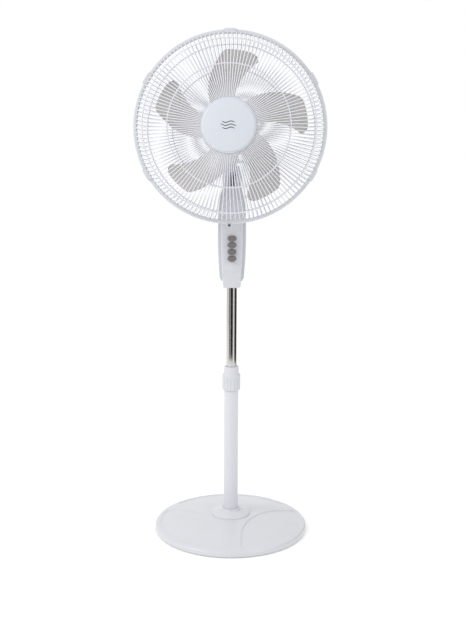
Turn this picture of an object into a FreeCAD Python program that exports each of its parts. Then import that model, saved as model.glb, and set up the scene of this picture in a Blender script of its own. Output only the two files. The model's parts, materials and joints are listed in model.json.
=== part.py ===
"""Pedestal fan with a 440 mm guard, five blades, a round weighted base and a telescopic mast.

Everything is in millimetres. The stand is modelled where it stands: +Z up, the floor at Z = 0, the mast's
axis on the Z axis and the front of the fan towards -Y. The motor head is modelled about the motor shaft
(x right, y up, z forwards along the shaft), and placements carry it to its resting tilt and swing.
"""
import FreeCAD
import Part
import Sketcher

import math
import os
import re

Vector = FreeCAD.Vector
Rotation = FreeCAD.Rotation
Placement = FreeCAD.Placement

SIZES = {
    # Fits: radial gaps, and the gap between casings that only touch.
    "slide_gap": 0.3,
    "running_gap": 0.04,
    "casing_gap": 0.3,
    # Base.
    "base_radius": 180,
    "base_skirt": 2,
    "base_edge": 14,
    "base_crown": 35,
    "base_wall": 2.6,
    "base_round": 5,
    "base_dome_radius": 950,
    "base_border": 7,
    "base_ledge": 3,
    "lobe_radius": 196,
    "lobe_offset": 253,
    "lobe_depth": 1,
    "foot_height": 3,
    "foot_radius": 8,
    "foot_circle": 158,
    "plate_thickness": 1.5,
    "plate_gap": 1,
    "ballast_radius": 158,
    "ballast_thickness": 5,
    "ballast_bore": 9,
    "flange_radius": 46,
    "flange_wall": 2.2,
    "flange_shoulder": 45,
    "flange_ring_reach": 5,
    "flange_top": 49,
    "socket_radius": 40,
    "socket_thickness": 3,
    "socket_height": 40,
    "base_bolt_radius": 4,
    "base_bolt_head": 7,
    "bolt_hole_gap": 2,
    "plug_foot_reach": 5,
    # Mast.
    "pole_radius": 17,
    "pole_wall": 1.5,
    "pole_top": 362,
    "tube_radius": 12,
    "tube_wall": 1,
    "tube_bottom": 238,
    "tube_in_box": 58,
    "plug_radius": 15,
    "plug_height": 14,
    "plug_spigot": 12,
    "collet_depth": 30,
    "collet_flange": 2,
    "collet_step": 1.8,
    "collet_neck_height": 16,
    "collet_tip_wall": 1.6,
    "collet_height": 28,
    "collet_slot": 2,
    "nut_bottom": 338,
    "nut_seat_depth": 4,
    "nut_wall": 4.6,
    "nut_grip_height": 40,
    "nut_sleeve_wall": 1.8,
    "nut_tip_wall": 2,
    "nut_height": 57,
    "nut_flute": 2,
    "nut_flutes": 16,
    "nut_flute_proud": 0.4,
    # Control box.
    "box_reach": 261,
    "box_split": 6,
    "panel_depth": 22,
    "panel_wall": 2.4,
    "panel_round": 3.2,
    "panel_foot": 21.5,
    "panel_head": 18.2,
    "panel_side_radius": 1700,
    "panel_over_pivot": 22,
    "window_width": 16,
    "window_height": 32,
    "window_drop": 13,
    "housing_depth": 42,
    "housing_wall": 2.4,
    "housing_rim": 9,
    "housing_round": 9,
    "housing_lift": 13,
    "housing_foot": 24,
    "housing_low": 29,
    "housing_low_rise": 9,
    "housing_side_radius": 1300,
    "housing_shoulder": 30,
    "housing_shoulder_drop": 53,
    "housing_head": 16.5,
    "housing_head_drop": 12,
    "sleeve_radius": 15,
    "sleeve_rise": 2,
    "button_width": 19,
    "button_height": 12.5,
    "button_nose": 2.7,
    "button_crown": 1.85,
    "button_proud": 8,
    "button_length": 17,
    "button_pitch": 15.7,
    "button_rise": 69,
    "button_round": 2.2,
    "button_travel": 4,
    "blank_radius": 13,
    "blank_rise": 49,
    "blank_thickness": 3.4,
    "blank_proud": 0.8,
    "switch_width": 24,
    "switch_depth": 22,
    "switch_height": 64,
    "capacitor_width": 32,
    "capacitor_depth": 16,
    "capacitor_height": 28,
    "capacitor_drop": 131,
    "screw_radius": 1.5,
    "screw_head": 3,
    "screw_head_height": 1.8,
    "screw_tip_gap": 1,
    "screw_boss": 3.4,
    "screw_side": 17,
    "screw_low_rise": 76,
    "screw_high_drop": 53,
    "tube_screw_radius": 2.5,
    "tube_screw_head": 4.5,
    "tube_screw_head_height": 3,
    "tube_screw_rise": 33,
    "gland_radius": 6,
    "gland_bore": 3.2,
    "gland_length": 14,
    "gland_back": 24,
    # Neck.
    "tilt_height": 847,
    "tilt_rest": 4.5,
    "swing_rest": -2.5,
    "ear_radius": 14,
    "ear_inner": 7,
    "ear_outer": 15,
    "ear_drop": 44,
    "tongue_half": 6.4,
    "tongue_radius": 11.5,
    "tilt_bolt_radius": 3,
    "tilt_head_radius": 5,
    "tilt_head_height": 3,
    "tilt_bolt_reach": 22,
    "hub_radius": 10,
    "hub_bottom": 20,
    "hub_top": 38,
    "washer_thickness": 2,
    "washer_radius": 12,
    "motor_clearance": 4.5,
    "post_radius": 5,
    "post_bottom": 24,
    "lug_reach": 23,
    "lug_radius": 5,
    "lug_bottom": 28,
    "lug_thickness": 3,
    "link_bottom": 32,
    "link_thickness": 2,
    "link_half_width": 3.5,
    "link_pin_radius": 2,
    # Motor, along the shaft (zero on the swing axis, positive forwards).
    "shaft_radius": 4,
    "shaft_front": 148,
    "stator_radius": 44,
    "stator_bore": 22,
    "stator_back": 8,
    "stator_length": 28,
    "stator_slots": 16,
    "slot_width": 4,
    "slot_depth": 13,
    "air_gap": 0.6,
    "winding_inner": 25,
    "winding_clearance": 5,
    "winding_length": 12,
    "winding_gap": 0.5,
    "bell_wall": 3.5,
    "bell_front": 56,
    "bell_back": 16,
    "bell_overlap": 6,
    "spigot_radius": 17,
    "spigot_front": 74,
    "spigot_bore": 5.5,
    "bearing_radius": 8,
    "bearing_length": 12,
    "bearing_boss": 14,
    "gear_case_left": 20,
    "gear_case_right": 34,
    "gear_case_top": 10,
    "gear_case_bottom": 30,
    "gear_case_length": 36,
    "gear_case_wall": 3,
    "gear_lid_thickness": 2,
    "arm_half_width": 13,
    "arm_thickness": 12,
    "arm_front": 14,
    "arm_web": 14,
    "cover_thickness": 2.5,
    "cover_reach": 17,
    "cover_lip": 8,
    "shell_wall": 2.2,
    "shell_rear_reach": 3,
    "shell_rear": 62,
    "shell_back": 76,
    "shell_flat": 26,
    "shell_curve": 400,
    "shell_turn": 22,
    "shell_mouth": 22,
    "vent_width": 3,
    "vent_inner": 12,
    "vent_outer": 24,
    "vents": 12,
    # Oscillation gear.
    "worm_centre": 35,
    "worm_radius": 5,
    "worm_root": 3.7,
    "worm_length": 16,
    "worm_side": 17,
    "wheel_radius": 12.8,
    "wheel_root": 11.2,
    "wheel_teeth": 24,
    "wheel_half_width": 4,
    "rod_radius": 2,
    "rod_bottom": 8,
    "knob_radius": 8,
    "knob_height": 14,
    "knob_rise": 11,
    "pinion_radius": 4.2,
    "pinion_root": 3,
    "pinion_sleeve": 3.6,
    "pinion_teeth": 8,
    "gear_radius": 14.1,
    "gear_root": 12.7,
    "gear_teeth": 30,
    "gear_side": 18.6,
    "gear_top": 20,
    "gear_thickness": 6,
    "crank_radius": 17,
    "crank_clearance": 0.5,
    "crank_thickness": 2.5,
    "crank_throw": 13,
    "link_length": 39.8,
    "crank_pin": 1,
    "crank_shaft": 4,
    # Guards.
    "rim_front": 130,
    "rim_radius": 207.5,
    "rim_wire": 2.5,
    "rim_half_gap": 3.4,
    "wire_radius": 1,
    "wire_count": 132,
    "ring_wire": 1.5,
    "ring_inner": 133.5,
    "ring_outer": 188.5,
    "plate_inset": 3,
    "plate_sheet": 1.5,
    "rear_wire_start": 46,
    "rear_corner_back": 54,
    "rear_corner_round": 20,
    "front_wire_reach": 2,
    "front_dome": 64.5,
    "front_corner_front": 50,
    "front_corner_round": 26,
    "guard_nut_radius": 36,
    "guard_nut_grip": 8,
    "guard_nut_height": 9,
    "guard_nut_lobes": 8,
    "cap_radius": 56,
    "cap_flange_reach": 4,
    "cap_wall": 2,
    "cap_rise": 5,
    "cap_dome": 4,
    "cap_round": 2,
    "cap_post": 4,
    "cap_post_circle": 42,
    "retainer_reach": 5,
    "retainer_thickness": 2,
    "band_over": 5.5,
    "band_under": 2.2,
    "band_wall": 2.2,
    "band_half_width": 8.5,
    "clip_wall": 2,
    "clip_gap": 0.2,
    "clip_angle": 7,
    "lug_half_width": 7,
    "lug_out": 6,
    "guard_screw_radius": 1.8,
    "guard_screw_head": 2.8,
    # Fan blade.
    "blade_radius": 172,
    "blade_hub_radius": 52,
    "blade_hub_back": 93,
    "blade_hub_front": 138,
    "blade_wall": 2.5,
    "blade_boss": 10,
    "blade_count": 5,
    "blade_thickness": 2,
    "blade_centre": 116,
    "blade_depth_root": 42,
    "blade_depth_tip": 34,
    "blade_camber": 5,
    "lead_root": 12,
    "lead_linear": 5,
    "lead_square": 12,
    "trail_root": 64,
    "trail_linear": 38,
    "tip_rounding": 0.085,
    "drive_pin_radius": 1.5,
    "drive_pin_half": 9,
    "drive_pin_place": 94.5,
    "blade_nut_radius": 17,
    "blade_nut_height": 16,
}

# Sizes that follow others: what fits round, seats on or lines up with another piece.
DERIVED = {
    "box_bottom": "tilt_height - box_reach",
    "flange_ring": "pole_radius + flange_ring_reach",
    "collet_neck": "pole_radius - collet_step",
    "collet_tip": "tube_radius + collet_tip_wall",
    "nut_radius": "pole_radius + nut_wall",
    "nut_sleeve_base": "collet_neck + nut_sleeve_wall",
    "nut_sleeve_tip": "collet_tip + nut_tip_wall",
    "nut_flute_offset": "nut_radius + nut_flute_proud",
    "tube_top": "box_bottom + tube_in_box",
    "tube_screw_height": "box_bottom + tube_screw_rise",
    "button_first": "box_bottom + button_rise",
    "blank_height": "box_bottom + blank_rise",
    "screw_low": "box_bottom + screw_low_rise",
    "screw_high": "tilt_height - screw_high_drop",
    "capacitor_bottom": "tilt_height - capacitor_drop",
    "head_rise": "stator_radius + bell_wall + motor_clearance + arm_thickness + hub_top + washer_thickness",
    "winding_outer": "stator_radius - winding_clearance",
    "cover_radius": "stator_radius + cover_reach",
    "shell_rear_radius": "stator_radius + shell_rear_reach",
    "knob_floor": "stator_radius + knob_rise",
    "crank_top": "head_rise - link_bottom - link_thickness - crank_clearance - crank_pin - crank_thickness",
    "plate_radius": "cover_radius - plate_inset",
    "cap_flange": "cap_radius + cap_flange_reach",
    "retainer_radius": "cap_radius + retainer_reach",
    "front_wire_start": "cap_radius + front_wire_reach",
    "band_outer": "rim_radius + band_over",
    "band_inner": "rim_radius - band_under",
}

doc = FreeCAD.newDocument("pedestal_fan")
sheet = doc.addObject("Spreadsheet::Sheet", "Sizes")
parts = []


# ---------------------------------------------------------------- the sheet and expressions

def fill_sheet():
    """Writes each size into the sheet as plain text and gives its cell an alias."""
    for row, (alias, size) in enumerate(SIZES.items(), 1):
        sheet.set(f"A{row}", alias)
        sheet.set(f"B{row}", str(size))
        sheet.setAlias(f"B{row}", alias)
    doc.recompute()


def linked_name(match):
    """One word of an expression: a derived size is written out, and an alias gets the sheet's name."""
    word = match.group(0)
    if word in DERIVED:
        return f"({link(DERIVED[word])})"
    return f"Sizes.{word}" if word in SIZES else word


def link(expression):
    """An expression in bare aliases and derived sizes, as FreeCAD reads it."""
    return re.sub(r"[a-z_]\w*", linked_name, str(expression))


def size(expression):
    """The number that an expression in bare aliases comes to, read from the sheet."""
    if isinstance(expression, (int, float)):
        return float(expression)
    result = sheet.evalExpression(link(expression))
    return float(getattr(result, "Value", result))


def bind(item, prop, expression):
    """Sets a property from the sheet, so that it follows its cells."""
    if isinstance(expression, (int, float)):
        setattr(item, prop, expression)
    else:
        item.setExpression(prop, link(expression))


# ---------------------------------------------------------------- placements

def tilt_placement():
    """The neck's frame: on the tilt axis, leaning back by the resting tilt."""
    return Placement(Vector(0, 0, size("tilt_height")), Rotation(Vector(1, 0, 0), -size("tilt_rest")))


def upright_placement():
    """The head's upright frame: z up the swing axis, origin where the motor shaft crosses it."""
    swing = Placement(Vector(0, 0, size("head_rise")), Rotation(Vector(0, 0, 1), size("swing_rest")))
    return tilt_placement() * swing


def shaft_placement():
    """The head's shaft frame: x right, y up, z forwards along the motor shaft."""
    return upright_placement() * Placement(Vector(0, 0, 0), Rotation(Vector(1, 0, 0), 90))


# ---------------------------------------------------------------- sketches

def origin_plane(body, role):
    return next(f for f in body.Origin.OriginFeatures if f.Role == role)


def new_body(label, placement=None):
    """A PartDesign body that is one sub-part, and may hold several separate solids."""
    body = doc.addObject("PartDesign::Body", label)
    body.Label = label
    body.AllowCompound = True
    if placement is not None:
        body.Placement = placement
    parts.append(body)
    return body


def bind_offset(sketch, offset):
    """Moves a sketch along its plane's normal, by a number or by an expression."""
    if isinstance(offset, str):
        bind(sketch, "AttachmentOffset.Base.z", offset)
    else:
        sketch.AttachmentOffset = Placement(Vector(0, 0, offset), Rotation())


def new_sketch(body, plane, offset=0):
    """A sketch on one of the body's own origin planes, moved along the plane's normal by an expression."""
    sketch = body.newObject("Sketcher::SketchObject", f"{body.Name}_sketch")
    sketch.AttachmentSupport = [(origin_plane(body, plane), "")]
    sketch.MapMode = "FlatFace"
    if offset != 0:
        bind_offset(sketch, offset)
    return sketch


def arc_middle(start, end, radius):
    """The middle of the shorter arc between two points: a positive radius bulges to the left of travel."""
    dx, dy = end[0] - start[0], end[1] - start[1]
    chord = math.hypot(dx, dy)
    rise = abs(radius) - math.sqrt(radius * radius - chord * chord / 4)
    side = math.copysign(rise, radius) / chord
    return Vector((start[0] + end[0]) / 2 - dy * side, (start[1] + end[1]) / 2 + dx * side, 0)


def outline(sketch, points):
    """A closed outline of points (u, v), or (u, v, radius) where an arc leaves for the next point."""
    count = len(points)
    first = sketch.GeometryCount
    places = [(size(p[0]), size(p[1])) for p in points]
    starts = []
    for i, point in enumerate(points):
        here, there = places[i], places[(i + 1) % count]
        if len(point) == 3:
            radius = size(point[2])
            sketch.addGeometry(Part.Arc(Vector(*here, 0), arc_middle(here, there, radius),
                                        Vector(*there, 0)), False)
            starts.append(2 if radius > 0 else 1)
        else:
            sketch.addGeometry(Part.LineSegment(Vector(*here, 0), Vector(*there, 0)), False)
            starts.append(1)
    for i in range(count):
        after = (i + 1) % count
        sketch.addConstraint(Sketcher.Constraint("Coincident", first + i, 3 - starts[i], first + after,
                                                 starts[after]))
    for i, point in enumerate(points):
        for kind, expression, number in (("DistanceX", point[0], places[i][0]),
                                         ("DistanceY", point[1], places[i][1])):
            index = sketch.addConstraint(Sketcher.Constraint(kind, -1, 1, first + i, starts[i], number))
            if isinstance(expression, str):
                sketch.setExpression(f"Constraints[{index}]", link(expression))
        if len(point) == 3:
            index = sketch.addConstraint(Sketcher.Constraint("Radius", first + i, abs(size(point[2]))))
            if isinstance(point[2], str):
                sketch.setExpression(f"Constraints[{index}]", link(point[2].lstrip("-")))


def circle(sketch, u, v, radius):
    """A circle whose centre and radius follow expressions."""
    index = sketch.addGeometry(Part.Circle(Vector(size(u), size(v), 0), Vector(0, 0, 1), size(radius)),
                               False)
    for kind, expression in (("DistanceX", u), ("DistanceY", v)):
        k = sketch.addConstraint(Sketcher.Constraint(kind, -1, 1, index, 3, size(expression)))
        if isinstance(expression, str):
            sketch.setExpression(f"Constraints[{k}]", link(expression))
    k = sketch.addConstraint(Sketcher.Constraint("Radius", index, size(radius)))
    if isinstance(radius, str):
        sketch.setExpression(f"Constraints[{k}]", link(radius))


def rectangle(sketch, left, right, low, high):
    outline(sketch, [(left, low), (right, low), (right, high), (left, high)])


def mirrored(half):
    """A whole outline from its right-hand half, listed from bottom to top as (u, v) or (u, v, radius)."""
    left = []
    for i in range(len(half) - 1, -1, -1):
        u, v = half[i][0], half[i][1]
        flipped = -u if isinstance(u, (int, float)) else f"-({u})"
        arc = half[i - 1][2:] if i > 0 else ()
        left.append((flipped, v, *arc))
    return list(half) + left


# ---------------------------------------------------------------- features

def revolve(body, points, angle=360):
    """Turns an outline of (radius, height) about the body's Z axis."""
    sketch = new_sketch(body, "XZ_Plane")
    outline(sketch, points)
    return revolve_sketch(body, sketch, angle)


def revolve_sketch(body, sketch, angle=360):
    feature = body.newObject("PartDesign::Revolution", f"{body.Name}_turn")
    feature.Profile = sketch
    feature.ReferenceAxis = (sketch, ["V_Axis"])
    bind(feature, "Angle", angle)
    if angle != 360:
        feature.Midplane = True
    return feature


def pad(body, sketch, length, reverse=False):
    feature = body.newObject("PartDesign::Pad", f"{body.Name}_pad")
    feature.Profile = sketch
    bind(feature, "Length", length)
    feature.Reversed = reverse
    return feature


def pocket(body, sketch, length=None, reverse=False):
    """Cuts a sketch into the body, against its normal unless reversed. No length cuts through all."""
    feature = body.newObject("PartDesign::Pocket", f"{body.Name}_pocket")
    feature.Profile = sketch
    if length is None:
        feature.Type = "ThroughAll"
    else:
        bind(feature, "Length", length)
    feature.Reversed = reverse
    return feature


def polar(body, features, count, angle=360, axis="Z_Axis"):
    """Repeats features about one of the body's axes and makes the pattern the body's tip."""
    feature = body.newObject("PartDesign::PolarPattern", f"{body.Name}_pattern")
    feature.Originals = features
    feature.Axis = (origin_plane(body, axis), [""])
    feature.Angle = angle
    bind(feature, "Occurrences", count)
    body.Tip = feature
    return feature


def dress_front(body, kind, amount, y):
    """Rounds (Fillet) or bevels (Chamfer) the edges of the tip that lie in the vertical plane at this y."""
    doc.recompute()
    base = body.Tip
    names = []
    for i, edge in enumerate(base.Shape.Edges, 1):
        box = edge.BoundBox
        if abs(box.YMin - y) < 1e-4 and box.YLength < 1e-4:
            names.append(f"Edge{i}")
    feature = body.newObject(f"PartDesign::{kind}", f"{body.Name}_{kind}")
    feature.Base = (base, names)
    bind(feature, "Radius" if kind == "Fillet" else "Size", amount)
    return feature


def plain_part(label, shape, placement):
    """A sub-part whose shape is made directly, for what sketches and features do not fit."""
    item = doc.addObject("Part::Feature", label)
    item.Label = label
    item.Shape = shape
    item.Placement = placement * item.Placement
    parts.append(item)
    return item


def cylinder_between(body, plane, offset, u, v, radius, length, reverse=False):
    sketch = new_sketch(body, plane, offset)
    circle(sketch, u, v, radius)
    return pad(body, sketch, length, reverse)


def hole_between(body, plane, offset, u, v, radius, length=None, reverse=False):
    sketch = new_sketch(body, plane, offset)
    circle(sketch, u, v, radius)
    return pocket(body, sketch, length, reverse)


# ---------------------------------------------------------------- base

def make_base_cover():
    """Domed plastic shell with a turned-down edge and three shallow lobes between three spokes."""
    body = new_body("base_cover")
    outer = [("base_radius", "base_skirt"), ("base_radius", "base_edge - base_round", "-base_round"),
             ("base_radius - base_round", "base_edge", "-base_dome_radius"),
             ("flange_radius", "base_crown"),
             ("pole_radius + casing_gap", "base_crown")]
    inner = [("pole_radius + casing_gap", "base_crown - base_wall"),
             ("flange_radius", "base_crown - base_wall", "base_dome_radius"),
             ("base_radius - base_round", "base_edge - base_wall"),
             ("base_radius - base_wall - base_ledge", "base_edge - base_round"),
             ("base_radius - base_wall - base_ledge", "foot_height + plate_thickness"),
             ("base_radius - base_wall", "foot_height + plate_thickness"),
             ("base_radius - base_wall", "base_skirt")]
    revolve(body, outer + inner)
    skin = doc.addObject("PartDesign::Body", "lobe_skin")
    revolve(skin, [("base_radius - base_round", "base_edge", "-base_dome_radius"),
                   ("flange_radius", "base_crown"),
                   ("flange_radius", "base_crown - lobe_depth", "base_dome_radius"),
                   ("base_radius - base_round", "base_edge - lobe_depth")])
    border = new_sketch(skin, "XY_Plane")
    circle(border, 0, 0, "base_radius - base_round - base_border")
    circle(border, 0, 0, "base_radius + base_round")
    pocket(skin, border, reverse=True)
    lobes = doc.addObject("PartDesign::Body", "lobe_prisms")
    lobes.AllowCompound = True
    lobe = new_sketch(lobes, "XY_Plane")
    circle(lobe, 0, "lobe_offset", "lobe_radius")
    first = pad(lobes, lobe, "base_crown")
    polar(lobes, [first], 3)
    doc.recompute()
    keep = skin.newObject("PartDesign::Boolean", "lobe_common")
    keep.setObjects([lobes])
    keep.Type = "Common"
    doc.recompute()
    cut = body.newObject("PartDesign::Boolean", "lobe_cut")
    cut.setObjects([skin])
    cut.Type = "Cut"


def make_base_inside():
    """Bottom plate, rubber feet, steel ballast, pole socket and the bolt that pulls them together."""
    plate = new_body("base_plate")
    revolve(plate, [("base_bolt_head + bolt_hole_gap", "foot_height"),
                    ("base_radius - base_wall - plate_gap", "foot_height"),
                    ("base_radius - base_wall - plate_gap", "foot_height + plate_thickness"),
                    ("base_bolt_head + bolt_hole_gap", "foot_height + plate_thickness")])
    feet = new_body("rubber_feet")
    revolve(feet, [(0, 0), ("base_bolt_head + plug_foot_reach", 0),
                   ("base_bolt_head + plug_foot_reach", "foot_height"),
                   ("base_bolt_head + bolt_hole_gap", "foot_height"),
                   ("base_bolt_head + bolt_hole_gap", "foot_height + plate_thickness"),
                   (0, "foot_height + plate_thickness")])
    foot = cylinder_between(feet, "XY_Plane", 0, "foot_circle", 0, "foot_radius", "foot_height")
    polar(feet, [foot], 6)
    ballast = new_body("ballast_disc")
    revolve(ballast, [("ballast_bore", "foot_height + plate_thickness"),
                      ("ballast_radius", "foot_height + plate_thickness"),
                      ("ballast_radius", "foot_height + plate_thickness + ballast_thickness"),
                      ("ballast_bore", "foot_height + plate_thickness + ballast_thickness")])
    floor = "foot_height + plate_thickness + ballast_thickness"
    socket = new_body("pole_socket")
    revolve(socket, [("base_bolt_radius + slide_gap", floor), ("socket_radius", floor),
                     ("socket_radius", f"{floor} + socket_thickness"),
                     ("pole_radius - pole_wall", f"{floor} + socket_thickness"),
                     ("pole_radius - pole_wall", f"{floor} + socket_height"),
                     ("base_bolt_radius + slide_gap", f"{floor} + socket_height")])
    bolt = new_body("base_bolt")
    head = new_sketch(bolt, "XY_Plane", "foot_height + plate_thickness")
    hexagon(head, "base_bolt_head")
    pad(bolt, head, "ballast_thickness")
    cylinder_between(bolt, "XY_Plane", floor, 0, 0, "base_bolt_radius", "socket_height")


def hexagon(sketch, across_corners):
    """A regular hexagon about the sketch's origin, by the radius to its corners."""
    outline(sketch, [(f"{across_corners} * cos({60 * k})",
                      f"{across_corners} * sin({60 * k})") for k in range(6)])


def make_pole():
    """Lower pole, its cover flange on the base, and the split collet that guides the upper tube."""
    floor = "foot_height + plate_thickness + ballast_thickness + socket_thickness"
    pole = new_body("lower_pole")
    revolve(pole, [("pole_radius - pole_wall", floor), ("pole_radius", floor),
                   ("pole_radius", "pole_top"),
                   ("pole_radius - pole_wall", "pole_top")])
    flange = new_body("pole_flange")
    bore = "pole_radius + slide_gap"
    revolve(flange, [("flange_radius", "base_crown"), ("flange_radius", "base_crown + flange_wall"),
                     ("flange_ring", "flange_shoulder"), ("flange_ring", "flange_top - 1", "-1"),
                     ("flange_ring - 1", "flange_top"), (bore, "flange_top"),
                     (bore, "flange_top - flange_wall"),
                     ("flange_ring - flange_wall", "flange_top - flange_wall"),
                     ("flange_ring - flange_wall", "flange_shoulder - flange_wall"),
                     ("flange_radius - flange_wall - flange_wall", "base_crown")])
    collet = new_body("pole_collet")
    inner = "tube_radius + running_gap"
    revolve(collet, [(inner, "pole_top - collet_depth"),
                     ("pole_radius - pole_wall", "pole_top - collet_depth"),
                     ("pole_radius - pole_wall", "pole_top"), ("pole_radius", "pole_top"),
                     ("pole_radius", "pole_top + collet_flange"),
                     ("collet_neck", "pole_top + collet_flange"),
                     ("collet_neck", "pole_top + collet_neck_height"),
                     ("collet_tip", "pole_top + collet_height"),
                     (inner, "pole_top + collet_height")])
    slots = new_sketch(collet, "XY_Plane", "pole_top + collet_height")
    rectangle(slots, "-collet_slot / 2", "collet_slot / 2", "-pole_radius", "pole_radius")
    cut = pocket(collet, slots, "collet_height - collet_flange - 2")
    polar(collet, [cut], 2, angle=90)


def make_lock_nut():
    """Fluted nut that squeezes the collet on the upper tube, with a plain tapered sleeve above it."""
    nut = new_body("height_lock_nut")
    seat = "pole_top + collet_flange + slide_gap"
    revolve(nut, [("pole_radius + running_gap", "nut_bottom"), ("nut_radius - 1", "nut_bottom"),
                  ("nut_radius", "nut_bottom + 1"), ("nut_radius", "nut_bottom + nut_grip_height - 3"),
                  ("nut_radius - 3", "nut_bottom + nut_grip_height"),
                  ("nut_sleeve_base", "nut_bottom + nut_grip_height"),
                  ("nut_sleeve_tip", "nut_bottom + nut_height - 1"),
                  ("nut_sleeve_tip - 1", "nut_bottom + nut_height"),
                  ("tube_radius + slide_gap", "nut_bottom + nut_height"),
                  ("tube_radius + slide_gap", "pole_top + collet_height + slide_gap"),
                  ("collet_tip + slide_gap", "pole_top + collet_height + slide_gap"),
                  ("collet_neck + slide_gap", "pole_top + collet_neck_height + slide_gap"),
                  ("collet_neck + slide_gap", seat), ("pole_radius + slide_gap", seat),
                  ("pole_radius + slide_gap", "pole_top - nut_seat_depth"),
                  ("pole_radius + running_gap", "pole_top - nut_seat_depth")])
    flute = new_sketch(nut, "XY_Plane", "nut_bottom + nut_grip_height - 4")
    circle(flute, "nut_flute_offset", 0, "nut_flute")
    cut = pocket(nut, flute, "nut_grip_height")
    polar(nut, [cut], "nut_flutes")


def make_upper_tube():
    """Chromed steel tube that carries the control box, and the sliding plug on its lower end."""
    tube = new_body("upper_tube")
    revolve(tube, [("tube_radius - tube_wall", "tube_bottom"), ("tube_radius", "tube_bottom"),
                   ("tube_radius", "tube_top"), ("tube_radius - tube_wall", "tube_top")])
    plug = new_body("tube_plug")
    revolve(plug, [(0, "tube_bottom - plug_height"), ("plug_radius", "tube_bottom - plug_height"),
                   ("plug_radius", "tube_bottom"), ("tube_radius - tube_wall", "tube_bottom"),
                   ("tube_radius - tube_wall", "tube_bottom + plug_spigot"),
                   (0, "tube_bottom + plug_spigot")])


# ---------------------------------------------------------------- control box

def panel_outline(inset):
    """The panel's front outline, drawn in by an expression."""
    top = f"tilt_height + panel_over_pivot - {inset}"
    return mirrored([
        (f"panel_foot - {inset}", f"box_bottom + {inset}", "-panel_side_radius"),
        (f"panel_head - {inset}", top)])


def housing_outline(inset):
    """The rear housing's outline, drawn in by an expression."""
    base = "box_bottom + housing_lift"
    return mirrored([
        (f"housing_foot - {inset}", f"{base} + {inset}"),
        (f"housing_low - {inset}", f"{base} + housing_low_rise", "-housing_side_radius"),
        (f"housing_shoulder - {inset}", "tilt_height - housing_shoulder_drop"),
        (f"housing_head - {inset}", f"tilt_height - housing_head_drop - {inset}")])


def oval(sketch, u, v, width, height):
    """A four-arc oval: flat-arched top and bottom, rounder ends."""
    side, rise = f"{width} / 2 - button_nose", f"{height} / 2 - button_crown"
    flat = f"-((({side}) ^ 2 + button_crown ^ 2) / (2 * button_crown))"
    tight = f"-((({rise}) ^ 2 + button_nose ^ 2) / (2 * button_nose))"
    outline(sketch, [(f"{u} + {side}", f"{v} - ({rise})", tight),
                     (f"{u} + {side}", f"{v} + {rise}", flat),
                     (f"{u} - ({side})", f"{v} + {rise}", tight),
                     (f"{u} - ({side})", f"{v} - ({rise})", flat)])


def make_control_panel():
    """Long tapered front shell with four button windows, a dial seat and the neck window."""
    panel = new_body("control_panel")
    face = "box_split + panel_depth"
    front = new_sketch(panel, "XZ_Plane", "box_split")
    outline(front, panel_outline("0"))
    pad(panel, front, "panel_depth")
    dress_front(panel, "Chamfer", "panel_round", -size(face))
    hollow = new_sketch(panel, "XZ_Plane", "box_split")
    outline(hollow, panel_outline("panel_wall"))
    pocket(panel, hollow, "panel_depth - panel_wall", reverse=True)
    for side in ("-screw_side", "screw_side"):
        for height in ("screw_low", "screw_high"):
            cylinder_between(panel, "XZ_Plane", "box_split", side, height, "screw_boss",
                             "panel_depth - 1")
            hole_between(panel, "XZ_Plane", "box_split", side, height, "screw_radius", "panel_depth / 2",
                         True)
    for k in range(4):
        window = new_sketch(panel, "XZ_Plane", "box_split")
        oval(window, "0", f"button_first + {k} * button_pitch", "(button_width + 2 * casing_gap)",
             "(button_height + 2 * casing_gap)")
        pocket(panel, window, reverse=True)
    hole_between(panel, "XZ_Plane", "box_split", 0, "blank_height", "blank_radius", None, True)
    neck = new_sketch(panel, "XZ_Plane", "box_split")
    top = "tilt_height + panel_over_pivot - window_drop"
    rectangle(neck, "-window_width / 2", "window_width / 2", f"{top} - window_height", top)
    pocket(panel, neck, reverse=True)
    notch = new_sketch(panel, "XY_Plane", "box_bottom")
    circle(notch, 0, 0, "sleeve_radius + casing_gap")
    pocket(panel, notch, "panel_wall + panel_round", reverse=True)
    throat = new_sketch(panel, "XY_Plane", "tilt_height + panel_over_pivot")
    rectangle(throat, "-ear_outer - casing_gap", "ear_outer + casing_gap", "-ear_radius - 2", 0)
    pocket(panel, throat, "panel_wall + 1")


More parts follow.
